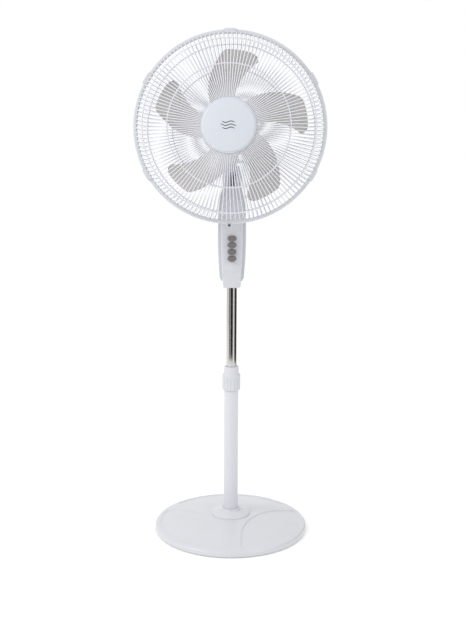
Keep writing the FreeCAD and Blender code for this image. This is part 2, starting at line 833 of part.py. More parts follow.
def make_control_housing():
    """Rear shell with the tube sleeve, screw posts and the two ears of the tilt joint."""
    housing = new_body("control_housing")
    outer = new_sketch(housing, "XZ_Plane", "box_split")
    outline(outer, housing_outline("0"))
    pad(housing, outer, "housing_depth", reverse=True)
    back = "housing_depth - box_split"
    dress_front(housing, "Fillet", "housing_round", size(back))
    hollow = new_sketch(housing, "XZ_Plane", "box_split - housing_wall")
    outline(hollow, housing_outline("housing_wall"))
    pocket(housing, hollow, "housing_depth - 2 * housing_wall - housing_round / 3")
    window = new_sketch(housing, "XZ_Plane", "box_split")
    outline(window, housing_outline("housing_rim"))
    pocket(housing, window, "2 * housing_wall")
    for side in ("-screw_side", "screw_side"):
        for height in ("screw_low", "screw_high"):
            cylinder_between(housing, "XZ_Plane", "box_split", side, height, "screw_boss",
                             "housing_depth - 2", True)
    cylinder_between(housing, "XY_Plane", "box_bottom + sleeve_rise", 0, 0, "sleeve_radius",
                     "tube_top - box_bottom - sleeve_rise + housing_wall")
    hole_between(housing, "XY_Plane", "box_bottom", 0, 0, "tube_radius", "tube_top - box_bottom", True)
    for inner in ("ear_inner", "-ear_outer"):
        ear = new_sketch(housing, "YZ_Plane", inner)
        low = "tilt_height - ear_drop"
        outline(ear, [("-ear_radius", low), ("ear_radius + 6", low),
                      ("ear_radius", "tilt_height", "-ear_radius"),
                      (0, "tilt_height + ear_radius", "-ear_radius"), ("-ear_radius", "tilt_height")])
        pad(housing, ear, "ear_outer - ear_inner")
    hole_between(housing, "YZ_Plane", "-ear_outer - 5", 0, "tilt_height", "tilt_bolt_radius", None, True)
    hole_between(housing, "XY_Plane", "box_bottom + housing_lift", 0, "gland_back", "gland_radius",
                 "housing_wall + 1", True)
    hole_between(housing, "XZ_Plane", "0", 0, "tube_screw_height", "tube_screw_radius", None)
    for side in ("-screw_side", "screw_side"):
        for height in ("screw_low", "screw_high"):
            hole_between(housing, "XZ_Plane", "box_split", side, height, "screw_radius + slide_gap", None)
            hole_between(housing, "XZ_Plane", "-housing_depth + box_split", side, height,
                         "screw_head + slide_gap", "screw_head_height", True)


def make_box_fittings():
    """Buttons, blanking disc, switch, capacitor, screws and cable gland of the control box."""
    face = "box_split + panel_depth"
    names = ["button_high", "button_medium", "button_low", "button_off"]
    for k, name in enumerate(names):
        button = new_body(name)
        front = new_sketch(button, "XZ_Plane", f"{face} + button_proud - button_length")
        oval(front, "0", f"button_first + {k} * button_pitch", "button_width", "button_height")
        pad(button, front, "button_length")
        dress_front(button, "Fillet", "button_round", -size(f"{face} + button_proud"))
    blank = new_body("timer_blank")
    cylinder_between(blank, "XZ_Plane", f"{face} + blank_proud - blank_thickness", 0, "blank_height",
                     "blank_radius", "blank_thickness")
    switch = new_body("switch_block")
    block = new_sketch(switch, "XZ_Plane",
                       f"{face} + button_proud - button_length - button_travel - casing_gap")
    rectangle(block, "-switch_width / 2", "switch_width / 2", "tube_top + housing_wall",
              "tube_top + housing_wall + switch_height")
    pad(switch, block, "switch_depth", reverse=True)
    capacitor = new_body("run_capacitor")
    can = new_sketch(capacitor, "XY_Plane", "capacitor_bottom")
    wall = "housing_depth - box_split - housing_wall - housing_round / 3"
    rectangle(can, "-capacitor_width / 2", "capacitor_width / 2", f"{wall} - capacitor_depth", wall)
    pad(capacitor, can, "capacitor_height")
    screws = new_body("panel_screws")
    for side in ("-screw_side", "screw_side"):
        for height in ("screw_low", "screw_high"):
            cylinder_between(screws, "XZ_Plane", "-housing_depth + box_split", side, height, "screw_head",
                             "screw_head_height")
            cylinder_between(screws, "XZ_Plane", "-housing_depth + box_split", side, height,
                             "screw_radius",
                             "housing_depth + panel_depth / 2 - screw_tip_gap")
    clamp = new_body("tube_screw")
    back = "-housing_depth + box_split"
    cylinder_between(clamp, "XZ_Plane", back, 0, "tube_screw_height", "tube_screw_head",
                     "tube_screw_head_height", True)
    cylinder_between(clamp, "XZ_Plane", back, 0, "tube_screw_height", "tube_screw_radius",
                     "housing_depth - box_split - tube_radius")
    gland = new_body("cord_gland")
    revolve(gland, [("gland_bore", 0), ("gland_radius", 0), ("gland_radius", "gland_length"),
                    ("gland_bore", "gland_length")])
    bind(gland, "Placement.Base.y", "gland_back")
    bind(gland, "Placement.Base.z", "box_bottom + housing_lift - gland_length + housing_wall + 3")


def make_tilt_joint():
    """Bolt and nut of the tilt joint, the neck bracket between the ears and its thrust washer."""
    bolt = new_body("tilt_bolt")
    sketch = new_sketch(bolt, "YZ_Plane", "-ear_outer - tilt_head_height")
    circle(sketch, 0, "tilt_height", "tilt_head_radius")
    pad(bolt, sketch, "tilt_head_height")
    cylinder_between(bolt, "YZ_Plane", "-ear_outer", 0, "tilt_height", "tilt_bolt_radius",
                     "ear_outer + tilt_bolt_reach - 4")
    nut = new_body("tilt_nut", Placement(Vector(0, 0, size("tilt_height")), Rotation()))
    sketch = new_sketch(nut, "YZ_Plane", "ear_outer")
    hexagon(sketch, "tilt_head_radius")
    circle(sketch, 0, 0, "tilt_bolt_radius")
    pad(nut, sketch, "tilt_head_height")
    neck = new_body("neck_bracket", tilt_placement())
    tongue = new_sketch(neck, "YZ_Plane", "-tongue_half")
    outline(tongue, [("-hub_radius", "hub_bottom + 1"), ("-tongue_radius", 0, "tongue_radius"),
                     (0, "-tongue_radius", "tongue_radius"), ("tongue_radius", 0),
                     ("hub_radius", "hub_bottom + 1")])
    pad(neck, tongue, "2 * tongue_half")
    cylinder_between(neck, "XY_Plane", "hub_bottom", 0, 0, "hub_radius", "hub_top - hub_bottom")
    arm = new_sketch(neck, "XY_Plane", "lug_bottom")
    outline(arm, [(0, "-lug_radius"), ("lug_reach", "-lug_radius", "-lug_radius"),
                  ("lug_reach + lug_radius", 0, "-lug_radius"), ("lug_reach", "lug_radius"),
                  (0, "lug_radius")])
    pad(neck, arm, "lug_thickness")
    cylinder_between(neck, "XY_Plane", "lug_bottom", "lug_reach", 0, "link_pin_radius",
                     "link_bottom + link_thickness + 0.5 - lug_bottom")
    hole_between(neck, "XY_Plane", "hub_top", 0, 0, "post_radius + running_gap",
                 "hub_top - post_bottom + 0.5")
    hole_between(neck, "YZ_Plane", "-tongue_half", 0, 0, "tilt_bolt_radius + running_gap", None, True)
    washer = new_body("thrust_washer", tilt_placement())
    revolve(washer, [("post_radius + slide_gap", "hub_top"), ("washer_radius", "hub_top"),
                     ("washer_radius", "hub_top + washer_thickness - running_gap"),
                     ("post_radius + slide_gap", "hub_top + washer_thickness - running_gap")])


# ---------------------------------------------------------------- motor

def make_shaft_line():
    """Shaft with its worm, rotor core, drive pin and the two bearings."""
    worm = Part.makeCylinder(size("worm_root"), size("worm_length"),
                             Vector(0, 0, -size("worm_centre + worm_length / 2")))
    back = -size("worm_centre + worm_length / 2")
    front = size("shaft_front")
    journal = Part.makeCylinder(size("shaft_radius"), front - (back + size("worm_length")),
                                Vector(0, 0, back + size("worm_length")))
    thread = worm_thread()
    shape = journal.fuse([worm, thread])
    hole = Part.makeCylinder(size("drive_pin_radius"), size("4 * shaft_radius"),
                             Vector(-size("2 * shaft_radius"), 0, size("drive_pin_place")),
                             Vector(1, 0, 0))
    plain_part("motor_shaft", shape.cut(hole), shaft_placement())
    pin = new_body("drive_pin", shaft_placement())
    cylinder_between(pin, "YZ_Plane", "-drive_pin_half", 0, "drive_pin_place", "drive_pin_radius",
                     "2 * drive_pin_half")
    rotor = new_body("rotor_core", shaft_placement())
    revolve(rotor, [("shaft_radius", "stator_back"), ("stator_bore - air_gap", "stator_back"),
                    ("stator_bore - air_gap", "stator_back + stator_length"),
                    ("shaft_radius", "stator_back + stator_length")])
    for name, end in (("front_bearing", "bell_front - bearing_length"),
                      ("rear_bearing", "-bell_back + bell_wall")):
        bearing = new_body(name, shaft_placement())
        revolve(bearing, [("shaft_radius + running_gap", end), ("bearing_radius", end),
                          ("bearing_radius", f"{end} + bearing_length"),
                          ("shaft_radius + running_gap", f"{end} + bearing_length")])


def worm_thread():
    """A single right-hand trapezoid thread wound on the worm's root."""
    pitch = math.pi * size("wheel_root + wheel_radius") / size("wheel_teeth")
    root, tip = size("worm_root"), size("worm_radius")
    turns = 2 * int((size("worm_length") - pitch) / pitch / 2)
    helix = Part.makeHelix(pitch, turns * pitch, root)
    base_half, tip_half = pitch * 0.22, pitch * 0.12
    corners = [Vector(root - 0.2, 0, -base_half), Vector(tip, 0, -tip_half), Vector(tip, 0, tip_half),
               Vector(root - 0.2, 0, base_half)]
    section = Part.makePolygon(corners + corners[:1])
    thread = Part.Wire(helix.Edges).makePipeShell([section], True, True)
    thread.translate(Vector(0, 0, -size("worm_centre") - turns * pitch / 2))
    return thread


def make_stator():
    """Laminated stator ring with slots, and its two copper coil ends."""
    core = new_body("stator_core", shaft_placement())
    ring = new_sketch(core, "XY_Plane", "stator_back")
    circle(ring, 0, 0, "stator_radius")
    circle(ring, 0, 0, "stator_bore")
    pad(core, ring, "stator_length")
    slot = new_sketch(core, "XY_Plane", "stator_back + stator_length")
    rectangle(slot, "stator_bore - 2", "stator_bore + slot_depth", "-slot_width / 2", "slot_width / 2")
    cut = pocket(core, slot)
    polar(core, [cut], "stator_slots")
    coils = new_body("stator_windings", shaft_placement())
    for low in ("stator_back - winding_gap - winding_length",
                "stator_back + stator_length + winding_gap"):
        revolve(coils, [("winding_inner", low), ("winding_outer", low),
                        ("winding_outer", f"{low} + winding_length"),
                        ("winding_inner", f"{low} + winding_length")])


def make_end_bells():
    """Die-cast end bells that clamp the stator, hold the bearings, and carry the threaded guard spigot."""
    front = new_body("front_end_bell", shaft_placement())
    lip = "stator_back + stator_length - bell_overlap"
    inner, wall = "stator_radius", "stator_radius + bell_wall"
    revolve(front, [("spigot_bore", "bell_front"), ("spigot_bore", "spigot_front"),
                    ("spigot_radius - 0.8", "spigot_front"), ("spigot_radius", "spigot_front - 0.8"),
                    ("spigot_radius", "bell_front"), (wall, "bell_front"), (wall, lip), (inner, lip),
                    (inner, "bell_front - bell_wall"), ("bearing_boss", "bell_front - bell_wall"),
                    ("bearing_boss", "bell_front - bearing_length"),
                    ("bearing_radius", "bell_front - bearing_length"),
                    ("bearing_radius", "bell_front")])
    rear = new_body("rear_end_bell", shaft_placement())
    revolve(rear, [("spigot_bore", "-bell_back"), (wall, "-bell_back"),
                   (wall, "stator_back + bell_overlap"),
                   (inner, "stator_back + bell_overlap"), (inner, "-bell_back + bell_wall"),
                   ("bearing_boss", "-bell_back + bell_wall"),
                   ("bearing_boss", "-bell_back + bell_wall + bearing_length"),
                   ("bearing_radius", "-bell_back + bell_wall + bearing_length"),
                   ("bearing_radius", "-bell_back + bell_wall"),
                   ("spigot_bore", "-bell_back + bell_wall")])


def make_gear_case():
    """Gear case behind the motor, its lid, and the arm that holds the swivel post."""
    case = new_body("gear_case", shaft_placement())
    outer = new_sketch(case, "XY_Plane", "-bell_back")
    rectangle(outer, "-gear_case_left", "gear_case_right", "-gear_case_bottom", "gear_case_top")
    pad(case, outer, "gear_case_length", reverse=True)
    inner = new_sketch(case, "XY_Plane", "-bell_back - gear_case_length")
    rectangle(inner, "-gear_case_left + gear_case_wall", "gear_case_right - gear_case_wall",
              "-gear_case_bottom + gear_case_wall", "gear_case_top - gear_case_wall")
    pocket(case, inner, "gear_case_length - gear_case_wall", reverse=True)
    web = new_sketch(case, "XY_Plane", "-bell_back")
    rectangle(web, "-arm_half_width", "arm_half_width", "-(head_rise - hub_top - washer_thickness)",
              "-gear_case_bottom")
    pad(case, web, "arm_web", reverse=True)
    arm = new_sketch(case, "YZ_Plane", "-arm_half_width")
    low = "-(head_rise - hub_top - washer_thickness)"
    rectangle(arm, low, f"{low} + arm_thickness", "-bell_back - 1", "arm_front")
    pad(case, arm, "2 * arm_half_width")
    hole_between(case, "XY_Plane", "-bell_back", 0, 0, "shaft_radius + slide_gap + slide_gap",
                 "gear_case_wall")
    hole_between(case, "XZ_Plane", f"{low} * -1", 0, 0, "post_radius", "arm_thickness")
    hole_between(case, "XZ_Plane", "-gear_case_top", "worm_side", "-worm_centre",
                 "rod_radius + running_gap",
                 "gear_case_wall", True)
    hole_between(case, "XZ_Plane", "gear_case_bottom", "worm_side", "-worm_centre",
                 "rod_radius + running_gap",
                 "gear_case_wall")
    hole_between(case, "XZ_Plane", "gear_case_bottom", "worm_side - gear_side", "-worm_centre",
                 "crank_shaft + running_gap", "gear_case_wall")
    lid = new_body("gear_case_lid", shaft_placement())
    plate = new_sketch(lid, "XY_Plane", "-bell_back - gear_case_length")
    rectangle(plate, "-gear_case_left", "gear_case_right", "-gear_case_bottom", "gear_case_top")
    pad(lid, plate, "gear_lid_thickness", reverse=True)
    post = new_body("swivel_post", upright_placement())
    top = "-(head_rise - hub_top - washer_thickness) + arm_thickness"
    revolve(post, [(0, "post_bottom - head_rise + 1"), ("post_radius - 1", "post_bottom - head_rise + 1"),
                   ("post_radius", "post_bottom - head_rise + 2"), ("post_radius", top), (0, top)])


def toothed_disc(tip, root, teeth, thickness, turn=0.0):
    """A gear blank about Z: trapezoid teeth, each narrower than its gap by about a third."""
    corners = []
    step = 2 * math.pi / teeth
    for k in range(teeth):
        for share, radius in ((-0.25, root), (-0.13, tip), (0.13, tip), (0.25, root)):
            angle = (k + share + turn) * step
            corners.append(Vector(radius * math.cos(angle), radius * math.sin(angle), 0))
    face = Part.Face(Part.makePolygon(corners + corners[:1]))
    return face.extrude(Vector(0, 0, thickness))


def gear_placement(side):
    """An upright axis at the worm's place along the shaft, this far to the right."""
    return upright_placement() * Placement(Vector(side, size("worm_centre"), 0), Rotation())


def make_oscillation_gears():
    """Worm wheel, clutch knob and rod, pinion, crank gear and the link to the neck."""
    side = size("worm_side")
    half = size("wheel_half_width")
    wheel = toothed_disc(size("wheel_radius"), size("wheel_root"), int(size("wheel_teeth")), 2 * half,
                         turn=0.5)
    bore = Part.makeCylinder(size("rod_radius + slide_gap"), 2 * half)
    wheel = wheel.cut(bore)
    wheel.translate(Vector(0, 0, -half))
    plain_part("worm_wheel", wheel, gear_placement(side))
    knob = new_body("clutch_knob", gear_placement(side))
    revolve(knob, [(0, "-rod_bottom"), ("rod_radius", "-rod_bottom"), ("rod_radius", "knob_floor"),
                   ("knob_radius - 2", "knob_floor"), ("knob_radius", "knob_floor + 5"),
                   ("knob_radius", "knob_floor + knob_height - 2", "-2"),
                   ("knob_radius - 2", "knob_floor + knob_height"), (0, "knob_floor + knob_height")])
    thick, gear_top = size("gear_thickness"), -size("gear_top")
    teeth = toothed_disc(size("pinion_radius"), size("pinion_root"), int(size("pinion_teeth")), thick)
    teeth.translate(Vector(0, 0, gear_top - thick))
    sleeve = Part.makeCylinder(size("pinion_sleeve"), -half - gear_top, Vector(0, 0, gear_top))
    foot = -size("gear_case_bottom")
    journal = Part.makeCylinder(size("rod_radius"), gear_top - foot, Vector(0, 0, foot))
    socket = Part.makeCylinder(size("rod_radius + slide_gap"), size("rod_bottom"),
                               Vector(0, 0, -size("rod_bottom + 1")))
    plain_part("pinion", teeth.fuse([sleeve, journal]).cut(socket), gear_placement(side))
    gear = toothed_disc(size("gear_radius"), size("gear_root"), int(size("gear_teeth")), thick, turn=0.5)
    gear.translate(Vector(0, 0, gear_top - thick))
    crank_top = -size("crank_top")
    shaft = Part.makeCylinder(size("crank_shaft"), gear_top - crank_top, Vector(0, 0, crank_top))
    disc = Part.makeCylinder(size("crank_radius"), size("crank_thickness"),
                             Vector(0, 0, crank_top - size("crank_thickness")))
    pin = Part.makeCylinder(size("link_pin_radius"), size("crank_pin"),
                            Vector(size("crank_throw"), 0,
                                   crank_top - size("crank_thickness + crank_pin")))
    crank = turned(gear.fuse([shaft, disc, pin]), crank_angles()[0])
    plain_part("crank_gear", crank, gear_placement(size("worm_side - gear_side")))
    make_swing_link()


def crank_angles():
    """Resting angles, in degrees, of the crank in the head and of the link on the neck.

    The lug pin, the crank's centre and the crank pin make a triangle whose three sides are known.
    """
    lug = Vector(size("lug_reach"), 0, 0)
    swing = Rotation(Vector(0, 0, 1), size("swing_rest"))
    centre = swing.multVec(Vector(size("worm_side - gear_side"), size("worm_centre"), 0))
    to_lug = lug - centre
    throw, link_length = size("crank_throw"), size("link_length")
    corner = math.acos((to_lug.Length ** 2 + throw ** 2 - link_length ** 2) / (2 * to_lug.Length * throw))
    turn = math.atan2(to_lug.y, to_lug.x) + corner
    pin = centre + Vector(math.cos(turn), math.sin(turn), 0) * throw
    return math.degrees(turn) - size("swing_rest"), math.degrees(math.atan2(pin.y - lug.y, pin.x - lug.x))


def make_swing_link():
    """Flat steel link from the neck's lug pin to under the crank pin."""
    turn = crank_angles()[1]
    lug = Placement(Vector(size("lug_reach"), 0, 0), Rotation(Vector(0, 0, 1), turn))
    link_body = new_body("swing_link", tilt_placement() * lug)
    bar = new_sketch(link_body, "XY_Plane", "link_bottom")
    length, half = "link_length", "link_half_width"
    outline(bar, [(0, f"-{half}"), (length, f"-{half}", f"-{half}"),
                  (f"{length} + {half}", 0, f"-{half}"),
                  (length, half), (0, half, f"-{half}"), (f"-{half}", 0, f"-{half}")])
    pad(link_body, bar, "link_thickness")
    hole_between(link_body, "XY_Plane", "link_bottom", 0, 0, "link_pin_radius + running_gap", None, True)


def make_motor_casing():
    """Plastic rear shell with vents, and the front cover that the rear guard sits on."""
    cover = new_body("motor_front_cover", shaft_placement())
    revolve(cover, [("spigot_radius + slide_gap", "bell_front"), ("cover_radius", "bell_front"),
                    ("cover_radius", "bell_front + cover_thickness"),
                    ("spigot_radius + slide_gap", "bell_front + cover_thickness")])
    revolve(cover, [("cover_radius - cover_thickness", "bell_front - cover_lip"),
                    ("cover_radius", "bell_front - cover_lip"),
                    ("cover_radius", "bell_front + cover_thickness / 2"),
                    ("cover_radius - cover_thickness", "bell_front + cover_thickness / 2")])
    shell = new_body("motor_housing", shaft_placement())
    outer = "cover_radius - cover_thickness - slide_gap"
    revolve(shell, [(outer, "bell_front - casing_gap"), (outer, "bell_front - cover_lip"),
                    ("cover_radius", "bell_front - cover_lip - casing_gap", "shell_curve"),
                    ("shell_rear_radius", "-shell_rear", "shell_turn"), ("shell_flat", "-shell_back"),
                    (0, "-shell_back"),
                    (0, "-shell_back + shell_wall"), ("shell_flat", "-shell_back + shell_wall",
                                                      "-shell_turn"),
                    ("shell_rear_radius - shell_wall", "-shell_rear + shell_wall / 2", "-shell_curve"),
                    ("cover_radius - cover_thickness - slide_gap - shell_wall",
                     "bell_front - cover_lip - 4"),
                    ("cover_radius - cover_thickness - slide_gap - shell_wall",
                     "bell_front - casing_gap")])
    mouth = new_sketch(shell, "XZ_Plane", "cover_radius + 10")
    rectangle(mouth, "-shell_mouth", "shell_mouth", "-shell_rear + 6", "arm_front + 4")
    pocket(shell, mouth, "cover_radius / 2 + 6")
    hole_between(shell, "XZ_Plane", "-cover_radius - 10", "worm_side", "-worm_centre", "rod_radius + 1",
                 "cover_radius / 2 + 10", True)
    vent = new_sketch(shell, "XY_Plane", "-shell_back")
    rectangle(vent, "vent_inner", "vent_outer", "-vent_width / 2", "vent_width / 2")
    cut = pocket(shell, vent, "shell_wall + 1", reverse=True)
    polar(shell, [cut], "vents")


# ---------------------------------------------------------------- guards

def bent_wire(corners, bend, radius):
    """A round wire along straight runs joined by one tangent bend, in the XZ half-plane."""
    start, corner, end = (Vector(x, 0, z) for x, z in corners)
    back = (start - corner).normalize()
    ahead = (end - corner).normalize()
    half = back.getAngle(ahead) / 2
    cut = bend / math.tan(half)
    inward = (back + ahead).normalize()
    first, last = corner + back * cut, corner + ahead * cut
    middle = corner + inward * (bend / math.sin(half) - bend)
    path = Part.Wire([Part.LineSegment(start, first).toShape(), Part.Arc(first, middle, last).toShape(),
                      Part.LineSegment(last, end).toShape()])
    section = Part.Wire([Part.Circle(start, corner - start, radius).toShape()])
    return path.makePipeShell([section], True, False)


def wire_cage(label, corners, bend):
    """Equal wires all round the shaft axis."""
    wire = bent_wire(corners, bend, size("wire_radius"))
    count = int(size("wire_count"))
    turned = []
    for k in range(count):
        copy = wire.copy()
        copy.rotate(Vector(0, 0, 0), Vector(0, 0, 1), (k + 0.5) * 360.0 / count)
        turned.append(copy)
    plain_part(label, Part.makeCompound(turned), shaft_placement())


def rear_wire_corners():
    """The rear wires' line: from the stamped plate out to the corner, then forwards inside the rim."""
    on_plate = size("bell_front + cover_thickness + plate_sheet + wire_radius")
    wall = size("rim_radius - rim_wire - wire_radius")
    return [(size("rear_wire_start"), on_plate), (wall, size("rim_front - rear_corner_back")),
            (wall, size("rim_front - rim_half_gap"))]


def front_wire_corners():
    """The front wires' line: from the cap's ring out to the corner, then back inside the rim."""
    wall = size("rim_radius - rim_wire - wire_radius")
    return [(size("front_wire_start"), size("rim_front + front_dome")),
            (wall, size("rim_front + front_corner_front")), (wall, size("rim_front + rim_half_gap"))]


def ring_under_wire(corners, radius, side):
    """The height of a ring's centre that just touches the wires' first run from this side."""
    (r0, z0), (r1, z1), _ = corners
    slope = (z1 - z0) / (r1 - r0)
    gap = size("wire_radius + ring_wire") * math.sqrt(1 + slope * slope)
    return z0 + slope * (radius - r0) + side * gap


def outer_ring_height(corners, bend, side):
    """The height of the outer ring, which lies on the inside of the wires' bend."""
    start, corner, end = (Vector(x, 0, z) for x, z in corners)
    back = (start - corner).normalize()
    ahead = (end - corner).normalize()
    half = back.getAngle(ahead) / 2
    centre = corner + (back + ahead).normalize() * (bend / math.sin(half))
    reach = bend - size("wire_radius + ring_wire")
    across = size("ring_outer") - centre.x
    if across < 0:
        return ring_under_wire(corners, size("ring_outer"), side)
    return centre.z - side * math.sqrt(reach * reach - across * across)


def make_guards():
    """Both wire guards, the stamped rear plate and the ring nut that holds it."""
    rear, front = rear_wire_corners(), front_wire_corners()
    wire_cage("rear_guard_wires", rear, size("rear_corner_round"))
    wire_cage("front_guard_wires", front, size("front_corner_round"))
    for label, corners, bend, side, rim, extra in (
            ("rear_guard_rings", rear, "rear_corner_round", 1, "rim_front - rim_half_gap", ()),
            ("front_guard_rings", front, "front_corner_round", -1, "rim_front + rim_half_gap",
             (size("front_wire_start"),))):
        hoops = [Part.makeTorus(size("rim_radius"), size("rim_wire"), Vector(0, 0, size(rim)),
                                Vector(0, 0, 1))]
        heights = {size("ring_outer"): outer_ring_height(corners, size(bend), side)}
        for radius in (size("ring_inner"), *extra):
            heights[radius] = ring_under_wire(corners, radius, side)
        for radius, height in heights.items():
            hoops.append(Part.makeTorus(radius, size("ring_wire"), Vector(0, 0, height), Vector(0, 0, 1)))
        plain_part(label, Part.makeCompound(hoops), shaft_placement())
    plate = new_body("rear_guard_plate", shaft_placement())
    seat = "bell_front + cover_thickness"
    revolve(plate, [("spigot_radius + slide_gap", seat), ("plate_radius", seat),
                    ("plate_radius", f"{seat} + plate_sheet"),
                    ("spigot_radius + slide_gap", f"{seat} + plate_sheet")])
    nut = new_body("rear_guard_nut", shaft_placement())
    low = f"{seat} + plate_sheet"
    revolve(nut, [("spigot_radius", low), ("guard_nut_radius", low), ("guard_nut_radius", f"{low} + 3"),
                  ("guard_nut_radius - 6", f"{low} + guard_nut_height"),
                  ("spigot_radius", f"{low} + guard_nut_height")])
    grip = new_sketch(nut, "XY_Plane", f"{low} + guard_nut_height")
    circle(grip, "guard_nut_radius + 2", 0, "guard_nut_grip / 2")
    cut = pocket(nut, grip)
    polar(nut, [cut], "guard_nut_lobes")


def make_front_cap():
    """Round centre cap of the front guard and the retainer that clamps it from inside."""
    seat = "rim_front + front_dome + wire_radius + slide_gap"
    top = f"{seat} + cap_rise"
    cap = new_body("front_cap", shaft_placement())
    dome = "-(((cap_radius - cap_round) ^ 2 + cap_dome ^ 2) / (2 * cap_dome))"
    revolve(cap, [("cap_radius - cap_wall", seat), ("cap_flange", seat),
                  ("cap_flange", f"{seat} + cap_wall"),
                  ("cap_radius", f"{seat} + cap_wall"), ("cap_radius", f"{top} - cap_round",
                                                         "-cap_round"),
                  ("cap_radius - cap_round", top, dome), (0, f"{top} + cap_dome"),
                  (0, f"{top} + cap_dome - cap_wall"), ("cap_radius - cap_wall", f"{top} - cap_wall")])
    back = "rim_front + front_dome - wire_radius - 2 * ring_wire - clip_gap"
    posts = cylinder_between(cap, "XY_Plane", back, "cap_post_circle", 0, "cap_post",
                             f"{top} + 1.5 - ({back})")
    polar(cap, [posts], 3)
    retainer = new_body("cap_retainer", shaft_placement())
    revolve(retainer, [(0, f"{back} - retainer_thickness"),
                       ("retainer_radius", f"{back} - retainer_thickness"),
                       ("retainer_radius", back), (0, back)])


def make_guard_band():
    """Plastic channel band round both rims, five clips over it, and its closing screw at the bottom."""
    band = new_body("guard_band", shaft_placement())
    low, high = "rim_front - band_half_width", "rim_front + band_half_width"
    channel = new_sketch(band, "XZ_Plane")
    outline(channel, [("band_inner", low), ("band_outer - 1", low), ("band_outer", f"{low} + 1"),
                      ("band_outer", f"{high} - 1"), ("band_outer - 1", high), ("band_inner", high),
                      ("band_inner", f"{high} - band_wall"),
                      ("band_outer - band_wall", f"{high} - band_wall"),
                      ("band_outer - band_wall", f"{low} + band_wall"),
                      ("band_inner", f"{low} + band_wall")])
    revolve_sketch(band, channel)
    lug = new_sketch(band, "XY_Plane", low)
    rectangle(lug, "-lug_half_width", "lug_half_width", "-band_outer - lug_out", "-band_outer + 1")
    pad(band, lug, "2 * band_half_width")
    hole_between(band, "XY_Plane", high, 0, "-band_outer - lug_out / 2", "guard_screw_radius")
    screw = new_body("guard_screw", shaft_placement())
    cylinder_between(screw, "XY_Plane", high, 0, "-band_outer - lug_out / 2", "guard_screw_head", 2)
    cylinder_between(screw, "XY_Plane", low, 0, "-band_outer - lug_out / 2", "guard_screw_radius",
                     "2 * band_half_width")
    clips = new_body("guard_clips", shaft_placement())
    clip = new_sketch(clips, "XZ_Plane")
    inner, outer = "band_outer + clip_gap", "band_outer + clip_gap + clip_wall"
    back, front = f"{low} - clip_gap", f"{high} + clip_gap"
    outline(clip, [("band_inner", f"{back} - clip_wall"), (f"{outer} - 1", f"{back} - clip_wall"),
                   (outer, f"{back} - clip_wall + 1"), (outer, f"{front} + clip_wall - 1"),
                   (f"{outer} - 1", f"{front} + clip_wall"), ("band_inner", f"{front} + clip_wall"),
                   ("band_inner", front), (inner, front), (inner, back), ("band_inner", back)])
    first = revolve_sketch(clips, clip, "clip_angle")
    polar(clips, [first], 5, angle=240)
    clips.Placement = shaft_placement() * Placement(Vector(0, 0, 0), Rotation(Vector(0, 0, 1), -30))


# ---------------------------------------------------------------- blade

def blade_point(across, along, lift):
    """A point of one blade: across from leading (0) to trailing edge (1), along from hub (0) to tip (1).

    The leading edge sweeps forwards in the direction of turning, the tip's corners are rounded off by a
    sixth-power curve, and the blade is pitched so that its trailing edge stands further forwards.
    """
    root = size("blade_hub_radius - blade_wall / 2")
    rounding = size("tip_rounding") * abs(2 * across - 1) ** 6
    radius = root + along * (size("blade_radius") * (1 - rounding) - root)
    lead = size("lead_root") - size("lead_linear") * along - size("lead_square") * along * along
    trail = size("trail_root") - size("trail_linear") * along
    angle = math.radians(lead + across * (trail - lead))
    depth = size("blade_depth_root") + along * size("blade_depth_tip - blade_depth_root")
    camber = size("blade_camber") * (1 - (2 * across - 1) ** 2)
    height = size("blade_centre") + (across - 0.5) * depth - camber + lift
    return Vector(radius * math.cos(angle), radius * math.sin(angle), height)


